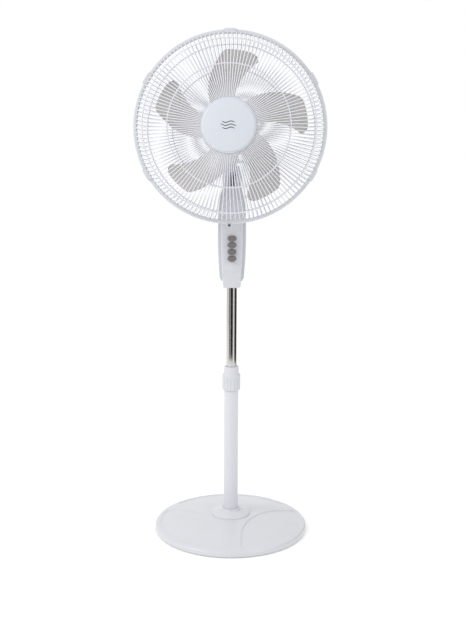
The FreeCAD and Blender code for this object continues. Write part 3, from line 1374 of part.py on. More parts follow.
def make_blade():
    """Five thin cambered blades on a cup-shaped hub with a bored boss, and the left-hand nut in front."""
    across = [i / 8 for i in range(9)]
    along = [i / 6 for i in range(7)]
    half = size("blade_thickness") / 2
    faces = []
    for lift in (-half, half):
        grid = [[blade_point(u, v, lift) for v in along] for u in across]
        surface = Part.BSplineSurface()
        surface.interpolate(grid)
        faces.append(surface)
    lower, upper = faces
    sides = []
    for iso in ("u", "v"):
        for end in (0, 1):
            curves = []
            for surface in faces:
                u0, u1, v0, v1 = surface.bounds()
                curves.append(surface.uIso((u0, u1)[end]) if iso == "u" else surface.vIso((v0, v1)[end]))
            sides.append(Part.makeRuledSurface(curves[0].toShape(), curves[1].toShape()))
    shell = Part.makeShell([lower.toShape(), upper.toShape(), *sides])
    shell.sewShape()
    blade = Part.Solid(Part.Shell(shell.Faces))
    if blade.Volume < 0:
        blade.reverse()
    outer, back, front = size("blade_hub_radius"), size("blade_hub_back"), size("blade_hub_front")
    wall = size("blade_wall")
    cup = Part.makeCylinder(outer, front - back, Vector(0, 0, back)).cut(
        Part.makeCylinder(outer - wall, front - back - wall, Vector(0, 0, back)))
    rim = [e for e in cup.Edges if isinstance(e.Curve, Part.Circle) and abs(e.Curve.Radius - outer) < 1e-6
           and abs(e.BoundBox.ZMin - front) < 1e-6]
    cup = cup.makeFillet(wall * 2 - 0.6, rim)
    boss = Part.makeCylinder(size("blade_boss"), front - back - 2, Vector(0, 0, back + 1))
    count = int(size("blade_count"))
    shape = cup.fuse([boss] + [turned(blade, 360.0 * k / count) for k in range(count)])
    shape = shape.cut(Part.makeCylinder(size("shaft_radius"), front, Vector(0, 0, back - 20)))
    slot = Part.makeBox(size("2 * drive_pin_half + 2"), size("2 * drive_pin_radius"),
                        size("2 * drive_pin_radius"),
                        Vector(-size("drive_pin_half + 1"), -size("drive_pin_radius"), back))
    plain_part("fan_blade", shape.cut(slot), shaft_placement())
    nut = new_body("blade_nut", shaft_placement())
    seat = "blade_hub_front"
    revolve(nut, [("shaft_radius", seat), ("blade_nut_radius", seat),
                  ("blade_nut_radius", f"{seat} + 5", "-blade_nut_radius"),
                  (5, f"{seat} + blade_nut_height"), (0, f"{seat} + blade_nut_height"),
                  (0, "shaft_front"), ("shaft_radius", "shaft_front")])


def turned(shape, degrees):
    copy = shape.copy()
    copy.rotate(Vector(0, 0, 0), Vector(0, 0, 1), degrees)
    return copy


# ---------------------------------------------------------------- checks and files

def check_document():
    """Stops on a failed feature, or a sub-part that is empty or not valid."""
    doc.recompute()
    for item in doc.Objects:
        if "Invalid" in item.State or "Error" in item.State:
            raise RuntimeError(f"{item.Label} failed: {item.State}")
    for item in parts:
        if item.Shape.isNull() or not item.Shape.isValid() or not item.Shape.Solids:
            raise RuntimeError(f"{item.Label} has no valid solid")


def write_parts():
    os.makedirs("parts", exist_ok=True)
    for item in parts:
        item.Shape.exportStep(os.path.join("parts", item.Label + ".step"))
    print(len(parts), "sub-parts written")


def main():
    fill_sheet()
    make_base_cover()
    make_base_inside()
    make_pole()
    make_lock_nut()
    make_upper_tube()
    make_control_panel()
    make_control_housing()
    make_box_fittings()
    make_tilt_joint()
    make_shaft_line()
    make_stator()
    make_end_bells()
    make_gear_case()
    make_oscillation_gears()
    make_motor_casing()
    make_guards()
    make_front_cap()
    make_guard_band()
    make_blade()
    check_document()
    write_parts()


main()
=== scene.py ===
"""Visual model of a pedestal fan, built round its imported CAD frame.

Lengths are in metres and every piece is made in the frame's own axes: +Z up, the fan facing -Y. Pieces of
the stand are worked out about the mast's axis. Pieces of the head are worked out about the motor shaft
(x right, y up, z forwards) and carried to their place by the axes of the blade joint and the swing joint.
"""

from __future__ import annotations

import json
import logging
import math
from dataclasses import dataclass
from enum import Enum
from typing import Iterable, Sequence

import bmesh
import bpy
import numpy as np
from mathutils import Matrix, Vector

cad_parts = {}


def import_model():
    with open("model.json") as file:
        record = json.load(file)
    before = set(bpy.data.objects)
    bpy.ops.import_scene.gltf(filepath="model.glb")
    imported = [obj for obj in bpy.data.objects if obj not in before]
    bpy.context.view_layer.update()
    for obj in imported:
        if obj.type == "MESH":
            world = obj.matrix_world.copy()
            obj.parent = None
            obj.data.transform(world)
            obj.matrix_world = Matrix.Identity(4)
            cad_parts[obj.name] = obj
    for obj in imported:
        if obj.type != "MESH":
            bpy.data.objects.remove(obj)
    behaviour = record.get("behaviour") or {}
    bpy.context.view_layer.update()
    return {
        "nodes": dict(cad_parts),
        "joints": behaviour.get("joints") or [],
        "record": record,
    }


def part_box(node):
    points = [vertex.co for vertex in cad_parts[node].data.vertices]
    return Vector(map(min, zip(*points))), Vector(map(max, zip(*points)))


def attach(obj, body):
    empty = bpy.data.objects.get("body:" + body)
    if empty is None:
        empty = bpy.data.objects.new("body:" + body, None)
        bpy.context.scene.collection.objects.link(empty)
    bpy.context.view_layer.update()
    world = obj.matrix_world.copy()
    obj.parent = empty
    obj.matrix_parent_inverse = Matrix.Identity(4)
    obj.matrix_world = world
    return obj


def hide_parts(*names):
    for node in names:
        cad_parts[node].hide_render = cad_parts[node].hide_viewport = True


LOG = logging.getLogger("pedestal_fan")
MM = 0.001
TURN = 2 * math.pi
DUST_COLOUR = (0.52, 0.50, 0.47)
COAT_ROUGHNESS = 0.12
WELD = 1e-6


# ------------------------------------------------------------------------------------------ surfaces


@dataclass
class Surface:
    """Points and faces of one closed surface, before it becomes a mesh."""

    points: np.ndarray
    faces: list[np.ndarray]

    def moved(self, placed: np.ndarray) -> "Surface":
        """Returns the same faces on other points."""
        return Surface(placed.reshape(-1, 3), self.faces)


def joined(surfaces: Iterable[Surface]) -> Surface:
    """Puts several surfaces into one, by shifting each one's face numbers past the points before it.

    Args:
        surfaces: The surfaces, which stay separate shells.

    Returns:
        One surface that holds them all.
    """
    points: list[np.ndarray] = []
    faces: list[np.ndarray] = []
    shift = 0
    for surface in surfaces:
        points.append(surface.points)
        faces.extend(block + shift for block in surface.faces)
        shift += len(surface.points)
    return Surface(np.vstack(points), faces)


def grid_faces(rows: int, cols: int, loop_rows: bool = False, loop_cols: bool = False) -> np.ndarray:
    """Quads of a grid of points numbered row by row: (i, j), (i, j+1), (i+1, j+1), (i+1, j).

    Args:
        rows: Rows of points.
        cols: Points in a row.
        loop_rows: Whether the last row joins the first.
        loop_cols: Whether each row closes on itself.

    Returns:
        An array of quads, four point numbers each.
    """
    i, j = np.meshgrid(np.arange(rows - (not loop_rows)), np.arange(cols - (not loop_cols)), indexing="ij")
    below, right = (i + 1) % rows, (j + 1) % cols
    quads = np.stack([i * cols + j, i * cols + right, below * cols + right, below * cols + j], axis=-1)
    return quads.reshape(-1, 4)


def skin(grid: np.ndarray, loop_rows: bool = False, loop_cols: bool = True, caps: bool = True) -> Surface:
    """A closed surface over a grid of points whose open ends are capped with one flat face each.

    Args:
        grid: Points as rows x columns x 3.
        loop_rows: Whether the last row joins the first.
        loop_cols: Whether each row is a closed loop.
        caps: Whether the first and the last row are filled.

    Returns:
        The surface.
    """
    rows, cols = grid.shape[:2]
    faces = [grid_faces(rows, cols, loop_rows, loop_cols)]
    if caps and not loop_rows:
        faces.append(np.arange(cols)[None, ::-1])
        faces.append(((rows - 1) * cols + np.arange(cols))[None, :])
    return Surface(grid.reshape(-1, 3), faces)


def around(radius: np.ndarray, angle: np.ndarray, height: np.ndarray) -> np.ndarray:
    """Points about Z, (r cos a, r sin a, height), with each argument spread to the others' shape."""
    x, y, z = np.broadcast_arrays(radius * np.cos(angle), radius * np.sin(angle), height)
    return np.stack([x, y, z], axis=-1)


def lathe(profile: np.ndarray, segments: int = 96, closed: bool = True) -> Surface:
    """A profile turned about Z: (r cos a, r sin a, height) for each profile point and each angle a.

    Args:
        profile: (radius, height) points. A closed profile is a loop clear of the axis; an open one starts
            and ends on the axis, where its points meet in a pole.
        segments: Steps round the axis.
        closed: Whether the last profile point joins the first.

    Returns:
        The surface.
    """
    angle = np.linspace(0, TURN, segments, endpoint=False)
    grid = around(profile[:, 0, None], angle, profile[:, 1, None])
    return skin(grid, loop_rows=closed, loop_cols=True, caps=False)


def rounded(corners: Sequence[tuple[float, float, float]], steps: int = 5, closed: bool = True) -> np.ndarray:
    """An outline whose corners are arcs tangent to both sides.

    For a corner with unit directions a and b to its neighbours and half angle h, the arc of radius r
    starts r / tan h along a, ends r / tan h along b and has its centre r / sin h along a + b.

    Args:
        corners: (u, v, radius) of each corner, in order. A radius of 0 keeps the corner sharp.
        steps: Points on each arc, less one.
        closed: Whether the last corner joins the first. The ends of an open outline stay sharp.

    Returns:
        The outline's points.
    """
    spots = np.array([c[:2] for c in corners], float)
    out: list[np.ndarray] = []
    for k, (_, _, radius) in enumerate(corners):
        here = spots[k]
        if radius <= 0 or (not closed and k in (0, len(corners) - 1)):
            out.append(here[None, :])
            continue
        back = spots[k - 1] - here
        ahead = spots[(k + 1) % len(corners)] - here
        back, ahead = back / np.linalg.norm(back), ahead / np.linalg.norm(ahead)
        half = math.acos(float(np.clip(back @ ahead, -1, 1))) / 2
        middle = (back + ahead) / np.linalg.norm(back + ahead)
        centre = here + middle * radius / math.sin(half)
        first = here + back * radius / math.tan(half) - centre
        last = here + ahead * radius / math.tan(half) - centre
        start = math.atan2(first[1], first[0])
        sweep = (math.atan2(last[1], last[0]) - start + math.pi) % TURN - math.pi
        angle = start + sweep * np.linspace(0, 1, steps + 1)
        out.append(centre + radius * np.stack([np.cos(angle), np.sin(angle)], axis=-1))
    return np.vstack(out)


def bowed(start: tuple[float, float], end: tuple[float, float], bow: float, count: int) -> np.ndarray:
    """A shallow arc: the straight run from start to end, pushed out to its right by bow * 4 t (1 - t).

    Args:
        start: First point.
        end: Last point.
        bow: How far the middle stands off the straight line.
        count: Points along it, ends included.

    Returns:
        The points.
    """
    t = np.linspace(0, 1, count)[:, None]
    a, b = np.array(start, float), np.array(end, float)
    run = (b - a) / np.linalg.norm(b - a)
    return a + (b - a) * t + np.array([run[1], -run[0]]) * bow * 4 * t * (1 - t)


def outward(outline: np.ndarray) -> np.ndarray:
    """Unit normals of a closed anticlockwise outline: its tangent turned a quarter turn clockwise."""
    tangent = np.roll(outline, -1, axis=0) - np.roll(outline, 1, axis=0)
    tangent /= np.linalg.norm(tangent, axis=1, keepdims=True)
    return np.stack([tangent[:, 1], -tangent[:, 0]], axis=-1)


def pillow(outline: np.ndarray, stations: Sequence[tuple[float, float]]) -> np.ndarray:
    """Copies of an anticlockwise outline at several depths, each drawn in by its own inset.

    Args:
        outline: Closed outline as (u, v) points.
        stations: (depth, inset) of each copy.

    Returns:
        Points as stations x outline x (u, v, depth).
    """
    depth, inset = np.array(stations, float).T
    flat = outline[None] - outward(outline)[None] * inset[:, None, None]
    return np.concatenate([flat, np.broadcast_to(depth[:, None, None], flat.shape[:2] + (1,))], axis=-1)


def shrunk(outline: np.ndarray, stations: Sequence[tuple[float, float]]) -> np.ndarray:
    """Copies of an outline at several depths, each scaled about its middle so that its box comes in.

    Args:
        outline: Closed outline as (u, v) points.
        stations: (depth, inset) of each copy, the inset being how far its box comes in on every side.

    Returns:
        Points as stations x outline x (u, v, depth).
    """
    low, high = outline.min(axis=0), outline.max(axis=0)
    middle, half = (low + high) / 2, (high - low) / 2
    depth, inset = np.array(stations, float).T
    flat = middle + (outline - middle)[None] * (1 - inset[:, None] / half)[:, None]
    return np.concatenate([flat, np.broadcast_to(depth[:, None, None], flat.shape[:2] + (1,))], axis=-1)


def quarter(radius: float, depth: float, steps: int = 5) -> list[tuple[float, float]]:
    """Stations that round an edge off: inset r (1 - cos a) while the depth grows by r sin a.

    Args:
        radius: Radius of the rounding.
        depth: Depth of the finished face.
        steps: Steps over the quarter turn.

    Returns:
        (depth, inset) stations, from the side wall to the face.
    """
    angle = np.linspace(0, math.pi / 2, steps + 1)
    return list(zip(depth - radius * (1 - np.sin(angle)), radius * (1 - np.cos(angle))))


def tube(path: np.ndarray, radius: float, sides: int = 6) -> np.ndarray:
    """A round tube along a path in the XZ plane: path + r (cos b * normal + sin b * Y) round each point.

    Args:
        path: Points of the path.
        radius: Radius of the tube.
        sides: Points round the tube.

    Returns:
        Points as path x sides x 3.
    """
    tangent = np.gradient(path, axis=0)
    tangent /= np.linalg.norm(tangent, axis=1, keepdims=True)
    across = np.array([0.0, 1.0, 0.0])
    normal = np.cross(tangent, across)
    round_angle = np.linspace(0, TURN, sides, endpoint=False)
    sideways, forwards = np.cos(round_angle)[None, :, None], np.sin(round_angle)[None, :, None]
    return path[:, None] + radius * (sideways * normal[:, None] + forwards * across)


def repeated(surface: Surface, angles: np.ndarray) -> Surface:
    """Copies of a surface turned about Z by each angle, as one surface.

    Args:
        surface: The surface to repeat.
        angles: Angles in radians.

    Returns:
        All the copies together.
    """
    c, s = np.cos(angles)[:, None], np.sin(angles)[:, None]
    x, y, z = surface.points.T
    points = np.stack([c * x - s * y, s * x + c * y, z + 0 * c], axis=-1)
    shift = np.arange(len(angles)) * len(surface.points)
    faces = [(block[None] + shift[:, None, None]).reshape(-1, block.shape[1]) for block in surface.faces]
    return Surface(points.reshape(-1, 3), faces)


def box_surface(low: Sequence[float], high: Sequence[float]) -> Surface:
    """An upright box between two corners."""
    outline = np.array([[low[0], low[1]], [high[0], low[1]], [high[0], high[1]], [low[0], high[1]]])
    return skin(pillow(outline, [(low[2], 0), (high[2], 0)]))


def round_bar(radius: float, low: float, high: float, segments: int = 48) -> Surface:
    """A solid round bar about Z, from the axis out along one end, up its side and back in."""
    profile = np.array([(0, low), (radius, low), (radius, high), (0, high)])
    return lathe(profile, segments, closed=False)


# ------------------------------------------------------------------------------------------ meshes


def piece(name: str, surface: Surface, body: str, nodes: Sequence[str], crease: float = 35.0,
          bevel: float = 0.0) -> bpy.types.Object:
    """Makes an object that stands for CAD nodes and rides on a body.

    Args:
        name: The object's name.
        surface: Its surface, in place.
        body: The CAD body it moves with.
        nodes: The CAD nodes it replaces.
        crease: Edges sharper than this many degrees stay sharp.
        bevel: Width of the rounding that finishes its sharp edges, or 0.

    Returns:
        The object.
    """
    obj = solid(name, surface, crease)
    if bevel > 0:
        rounding = obj.modifiers.new("edge_rounding", "BEVEL")
        rounding.width = bevel
        rounding.segments = 2
        rounding.limit_method = "ANGLE"
        rounding.angle_limit = math.radians(crease)
        rounding.harden_normals = False
    return adopted(obj, body, nodes)


def adopted(obj: bpy.types.Object, body: str, nodes: Sequence[str]) -> bpy.types.Object:
    """Lets a finished object ride on a body, in place of its CAD nodes."""
    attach(obj, body)
    if nodes:
        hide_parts(*nodes)
    LOG.info("piece %s: %d faces on %s", obj.name, len(obj.data.polygons), body)
    return obj


def solid(name: str, surface: Surface, crease: float = 35.0) -> bpy.types.Object:
    """Makes a mesh object from a surface, with welded poles, outward faces and smooth shading."""
    mesh = bpy.data.meshes.new(name)
    faces = [row for block in surface.faces for row in block.tolist()]
    mesh.from_pydata(surface.points.tolist(), [], faces)
    obj = bpy.data.objects.new(name, mesh)
    bpy.context.scene.collection.objects.link(obj)
    tidy_mesh(mesh, crease)
    return obj


def tidy_mesh(mesh: bpy.types.Mesh, crease: float) -> None:
    """Welds doubled points, drops empty faces, turns faces outwards and smooths all but sharp edges."""
    work = bmesh.new()
    work.from_mesh(mesh)
    bmesh.ops.remove_doubles(work, verts=work.verts, dist=WELD)
    bmesh.ops.dissolve_degenerate(work, edges=work.edges, dist=WELD / 10)
    bmesh.ops.recalc_face_normals(work, faces=work.faces)
    work.to_mesh(mesh)
    work.free()
    mesh.shade_smooth()
    mesh.set_sharp_from_angle(angle=math.radians(crease))
    mesh.update()


def carved(target: bpy.types.Object, cutters: Sequence[Surface], crease: float = 35.0) -> bpy.types.Object:
    """Cuts closed surfaces out of an object and keeps the result as its mesh.

    Args:
        target: The object to cut, with no live modifiers.
        cutters: Closed surfaces, each taken away.
        crease: Edges sharper than this many degrees stay sharp.

    Returns:
        The same object.
    """
    tool = solid("cutter", joined(cutters))
    cut = target.modifiers.new("cut", "BOOLEAN")
    cut.operation = "DIFFERENCE"
    cut.solver = "EXACT"
    cut.use_self = True
    cut.object = tool
    bpy.context.view_layer.update()
    result = bpy.data.meshes.new_from_object(target.evaluated_get(bpy.context.evaluated_depsgraph_get()))
    target.modifiers.remove(cut)
    old = target.data
    target.data = result
    result.name = target.name
    bpy.data.meshes.remove(old)
    bpy.data.objects.remove(tool)
    tidy_mesh(result, crease)
    return target


# ------------------------------------------------------------------------------------------ frame


@dataclass(frozen=True)
class Extent:
    """Reach of a CAD node about an axis: radii and heights along it."""

    inner: float
    outer: float
    low: float
    high: float


@dataclass(frozen=True)
class Axes:
    """A place to model in: an origin and three unit directions, as the columns of a matrix."""

    origin: np.ndarray
    turn: np.ndarray

    @classmethod
    def of_shaft(cls, joints: Sequence[dict]) -> "Axes":
        """The motor shaft's axes: z along the blade joint, y along the swing joint, x to the right."""
        by_name = {joint["name"]: joint for joint in joints}
        forward = unit(by_name["blade_spin"]["axis"])
        across = unit(np.cross(unit(by_name["swing"]["axis"]), forward))
        up = np.cross(forward, across)
        return cls(np.array(by_name["blade_spin"]["pos_m"], float), np.stack([across, up, forward], axis=1))

    def place(self, surface: Surface) -> Surface:
        """Carries a surface from these axes to the frame's."""
        return surface.moved(surface.points @ self.turn.T + self.origin)

    def extent(self, obj: bpy.types.Object) -> Extent:
        """Measures a CAD node's mesh in these axes."""
        flat = np.empty(len(obj.data.vertices) * 3)
        obj.data.vertices.foreach_get("co", flat)
        local = (flat.reshape(-1, 3) - self.origin) @ self.turn
        radius = np.hypot(local[:, 0], local[:, 1])
        return Extent(radius.min(), radius.max(), local[:, 2].min(), local[:, 2].max())


def unit(vector: Sequence[float]) -> np.ndarray:
    """A vector scaled to length one."""
    array = np.array(vector, float)
    return array / np.linalg.norm(array)


# ------------------------------------------------------------------------------------------ finishes


class Grain(Enum):
    """How a finish's fine texture runs."""

    MOULDED = "moulded"
    DRAWN = "drawn"
    WOUND = "wound"


STRETCH = {Grain.MOULDED: (1.0, 1.0, 1.0), Grain.DRAWN: (1.0, 1.0, 0.03), Grain.WOUND: (0.2, 4.0, 0.2)}


def new_group(name: str, inputs: Sequence[str], outputs: Sequence[str]) -> bpy.types.NodeTree:
    """A shader node group with float sockets, and its two end nodes."""
    group = bpy.data.node_groups.new(name, "ShaderNodeTree")
    for label in inputs:
        group.interface.new_socket(label, in_out="INPUT", socket_type="NodeSocketFloat")
    for label in outputs:
        group.interface.new_socket(label, in_out="OUTPUT", socket_type="NodeSocketFloat")
    group.nodes.new("NodeGroupInput")
    group.nodes.new("NodeGroupOutput")
    return group


def grain_group(grain: Grain) -> bpy.types.NodeTree:
    """Fine texture and soft mottling, both noise over the piece's own place, stretched along the grain.

    Args:
        grain: How the texture runs.

    Returns:
        A group that gives Height, the fine texture, and Mottle, a slow change across the piece.
    """
    name = f"{grain.value}_grain"
    if name in bpy.data.node_groups:
        return bpy.data.node_groups[name]
    group = new_group(name, ["Scale"], ["Height", "Mottle"])
    ends = {node.bl_idname: node for node in group.nodes}
    where = group.nodes.new("ShaderNodeTexCoord")
    stretch = group.nodes.new("ShaderNodeMapping")
    stretch.inputs["Scale"].default_value = STRETCH[grain]
    fine, slow = group.nodes.new("ShaderNodeTexNoise"), group.nodes.new("ShaderNodeTexNoise")
    fine.inputs["Detail"].default_value = 3.0
    slow.inputs["Scale"].default_value = 22.0
    slow.inputs["Detail"].default_value = 4.0
    join = group.links.new
    join(where.outputs["Object"], stretch.inputs["Vector"])
    join(stretch.outputs["Vector"], fine.inputs["Vector"])
    join(stretch.outputs["Vector"], slow.inputs["Vector"])
    join(ends["NodeGroupInput"].outputs["Scale"], fine.inputs["Scale"])
    join(fine.outputs["Fac"], ends["NodeGroupOutput"].inputs["Height"])
    join(slow.outputs["Fac"], ends["NodeGroupOutput"].inputs["Mottle"])
    return group


def dust_group() -> bpy.types.NodeTree:
    """Settled dust: how far a face looks up, squared, times patchy noise.

    Returns:
        A group that gives Mask, from 0, clean, to 1.
    """
    if "settled_dust" in bpy.data.node_groups:
        return bpy.data.node_groups["settled_dust"]
    group = new_group("settled_dust", ["Amount"], ["Mask"])
    ends = {node.bl_idname: node for node in group.nodes}
    shape, split = group.nodes.new("ShaderNodeNewGeometry"), group.nodes.new("ShaderNodeSeparateXYZ")
    up, patch = group.nodes.new("ShaderNodeMath"), group.nodes.new("ShaderNodeMath")
    up.operation, up.use_clamp = "POWER", True
    up.inputs[1].default_value = 2.0
    patch.operation, patch.use_clamp = "MULTIPLY", True
    where, noise = group.nodes.new("ShaderNodeTexCoord"), group.nodes.new("ShaderNodeTexNoise")
    noise.inputs["Scale"].default_value = 60.0
    noise.inputs["Detail"].default_value = 5.0
    total, floor = group.nodes.new("ShaderNodeMath"), group.nodes.new("ShaderNodeMath")
    total.operation, total.use_clamp = "MULTIPLY", True
    floor.operation = "MAXIMUM"
    floor.inputs[1].default_value = 0.0
    join = group.links.new
    join(shape.outputs["Normal"], split.inputs["Vector"])
    join(split.outputs["Z"], floor.inputs[0])
    join(floor.outputs["Value"], up.inputs[0])
    join(where.outputs["Object"], noise.inputs["Vector"])
    join(up.outputs["Value"], patch.inputs[0])
    join(noise.outputs["Fac"], patch.inputs[1])
    join(patch.outputs["Value"], total.inputs[0])
    join(ends["NodeGroupInput"].outputs["Amount"], total.inputs[1])
    join(total.outputs["Value"], ends["NodeGroupOutput"].inputs["Mask"])
    return group


@dataclass(frozen=True)
class Finish:
    """A material's looks: two colours that mottle into each other, its gloss, its texture and its dust."""

    name: str
    colour: tuple[float, float, float]
    worn: tuple[float, float, float]
    gloss: tuple[float, float] = (0.35, 0.5)
    metallic: float = 0.0
    coat: float = 0.0
    grain: Grain = Grain.MOULDED
    grain_scale: float = 900.0
    relief: float = 0.00002
    dust: float = 0.0

    def make(self) -> bpy.types.Material:
        """Builds the material once and returns it from then on."""
        if self.name in bpy.data.materials:
            return bpy.data.materials[self.name]
        made = bpy.data.materials.new(self.name)
        made.use_nodes = True
        tree = made.node_tree
        shader = tree.nodes["Principled BSDF"]
        shader.inputs["Metallic"].default_value = self.metallic
        shader.inputs["Coat Weight"].default_value = self.coat
        shader.inputs["Coat Roughness"].default_value = COAT_ROUGHNESS
        texture = tree.nodes.new("ShaderNodeGroup")
        texture.node_tree = grain_group(self.grain)
        texture.inputs["Scale"].default_value = self.grain_scale
        dirt = tree.nodes.new("ShaderNodeGroup")
        dirt.node_tree = dust_group()
        dirt.inputs["Amount"].default_value = self.dust
        base, dusty = mixed(tree, self.colour, self.worn), mixed(tree, self.colour, DUST_COLOUR)
        roughness = tree.nodes.new("ShaderNodeMapRange")
        roughness.inputs["To Min"].default_value, roughness.inputs["To Max"].default_value = self.gloss
        bump = tree.nodes.new("ShaderNodeBump")
        bump.inputs["Distance"].default_value = self.relief
        bump.inputs["Strength"].default_value = 1.0
        join = tree.links.new
        join(texture.outputs["Mottle"], base.inputs["Factor"])
        join(base.outputs["Result"], dusty.inputs["A"])
        join(dirt.outputs["Mask"], dusty.inputs["Factor"])
        join(dusty.outputs["Result"], shader.inputs["Base Color"])
        join(texture.outputs["Mottle"], roughness.inputs["Value"])
        join(roughness.outputs["Result"], shader.inputs["Roughness"])
        join(texture.outputs["Height"], bump.inputs["Height"])
        join(bump.outputs["Normal"], shader.inputs["Normal"])
        return made

    def dress(self, *objects: bpy.types.Object) -> None:
        """Puts the material on every slot of each object."""
        for obj in objects:
            slots = obj.data.materials
            if len(slots) == 0:
                slots.append(None)
            for index in range(len(slots)):
                slots[index] = self.make()


class ColourMix:
    """The colour sockets of a Mix node by plain names, since its sockets share names across data types."""

    def __init__(self, node: bpy.types.Node) -> None:
        """Finds the node's factor, its two colours and its result."""
        node.data_type = "RGBA"
        self.inputs = {"Factor": node.inputs[0], "A": node.inputs[6], "B": node.inputs[7]}
        self.outputs = {"Result": node.outputs[2]}


def mixed(tree: bpy.types.NodeTree, first: Sequence[float], second: Sequence[float]) -> ColourMix:
    """A node that mixes two colours."""
    mix = ColourMix(tree.nodes.new("ShaderNodeMix"))
    mix.inputs["A"].default_value = (*first, 1.0)
    mix.inputs["B"].default_value = (*second, 1.0)
    return mix


WHITE_PLASTIC = Finish("white_moulding", (0.60, 0.615, 0.65), (0.565, 0.58, 0.615), (0.26, 0.4), coat=0.15,
                       grain_scale=1400.0, relief=0.000008, dust=0.12)
SATIN_PLASTIC = Finish("satin_moulding", (0.61, 0.63, 0.665), (0.57, 0.59, 0.625), (0.4, 0.55),
                       grain_scale=1100.0, relief=0.00002, dust=0.1)
CAP_PLASTIC = Finish("cap_moulding", (0.61, 0.64, 0.69), (0.585, 0.615, 0.665), (0.3, 0.42), coat=0.1,
                     grain_scale=1600.0, relief=0.000012, dust=0.05)
POLE_PAINT = Finish("powder_coat", (0.62, 0.635, 0.675), (0.59, 0.60, 0.64), (0.3, 0.42), coat=0.2,
                    grain_scale=650.0, relief=0.00002, dust=0.05)
WIRE_PAINT = Finish("dipped_wire", (0.74, 0.75, 0.80), (0.69, 0.70, 0.75), (0.3, 0.45), coat=0.3,
                    grain_scale=500.0, relief=0.00001, dust=0.2)
BLADE_PLASTIC = Finish("smoked_moulding", (0.56, 0.54, 0.525), (0.52, 0.50, 0.485), (0.25, 0.38), coat=0.2,
                       grain_scale=900.0, relief=0.000008, dust=0.05)
CHROME = Finish("chrome_plate", (0.62, 0.61, 0.60), (0.55, 0.54, 0.53), (0.07, 0.14), metallic=1.0,
                grain=Grain.DRAWN, grain_scale=900.0, relief=0.000004)
KEY_PLASTIC = Finish("key_moulding", (0.15, 0.14, 0.135), (0.19, 0.18, 0.17), (0.3, 0.45), coat=0.2,
                     grain_scale=1500.0, relief=0.00001, dust=0.15)
DARK_PLASTIC = Finish("black_moulding", (0.03, 0.03, 0.032), (0.05, 0.05, 0.05), (0.4, 0.55), dust=0.2)
ZINC_STEEL = Finish("zinc_steel", (0.52, 0.52, 0.50), (0.42, 0.42, 0.41), (0.25, 0.45), metallic=1.0,
                    grain=Grain.DRAWN, grain_scale=700.0, relief=0.00001)
CAST_ALLOY = Finish("cast_alloy", (0.46, 0.46, 0.46), (0.38, 0.38, 0.38), (0.45, 0.62), metallic=1.0,
                    grain_scale=420.0, relief=0.00008)
RUSTED_IRON = Finish("bare_iron", (0.22, 0.21, 0.20), (0.16, 0.12, 0.10), (0.45, 0.7), metallic=1.0,
                     grain_scale=300.0, relief=0.00006)
COPPER_WIRE = Finish("enamelled_copper", (0.62, 0.25, 0.11), (0.48, 0.18, 0.08), (0.2, 0.4), metallic=1.0,
                     grain=Grain.WOUND, grain_scale=500.0, relief=0.0002)
BRONZE = Finish("sintered_bronze", (0.50, 0.35, 0.18), (0.38, 0.26, 0.14), (0.35, 0.55), metallic=1.0)
RUBBER = Finish("foot_rubber", (0.06, 0.06, 0.062), (0.09, 0.09, 0.09), (0.6, 0.8), grain_scale=500.0,
                relief=0.00005)
NYLON = Finish("natural_nylon", (0.70, 0.68, 0.62), (0.64, 0.62, 0.56), (0.35, 0.5))

SLOT_FINISH = {
    "white_plastic": SATIN_PLASTIC, "white_metal": POLE_PAINT, "steel_wire": WIRE_PAINT, "chrome": CHROME,
    "blade_grey": BLADE_PLASTIC, "key_grey": KEY_PLASTIC, "dark_plastic": DARK_PLASTIC, "steel": ZINC_STEEL,
    "cast_metal": CAST_ALLOY, "iron": RUSTED_IRON, "copper": COPPER_WIRE, "bronze": BRONZE,
    "rubber": RUBBER, "nylon": NYLON,
}


# ------------------------------------------------------------------------------------------ the stand


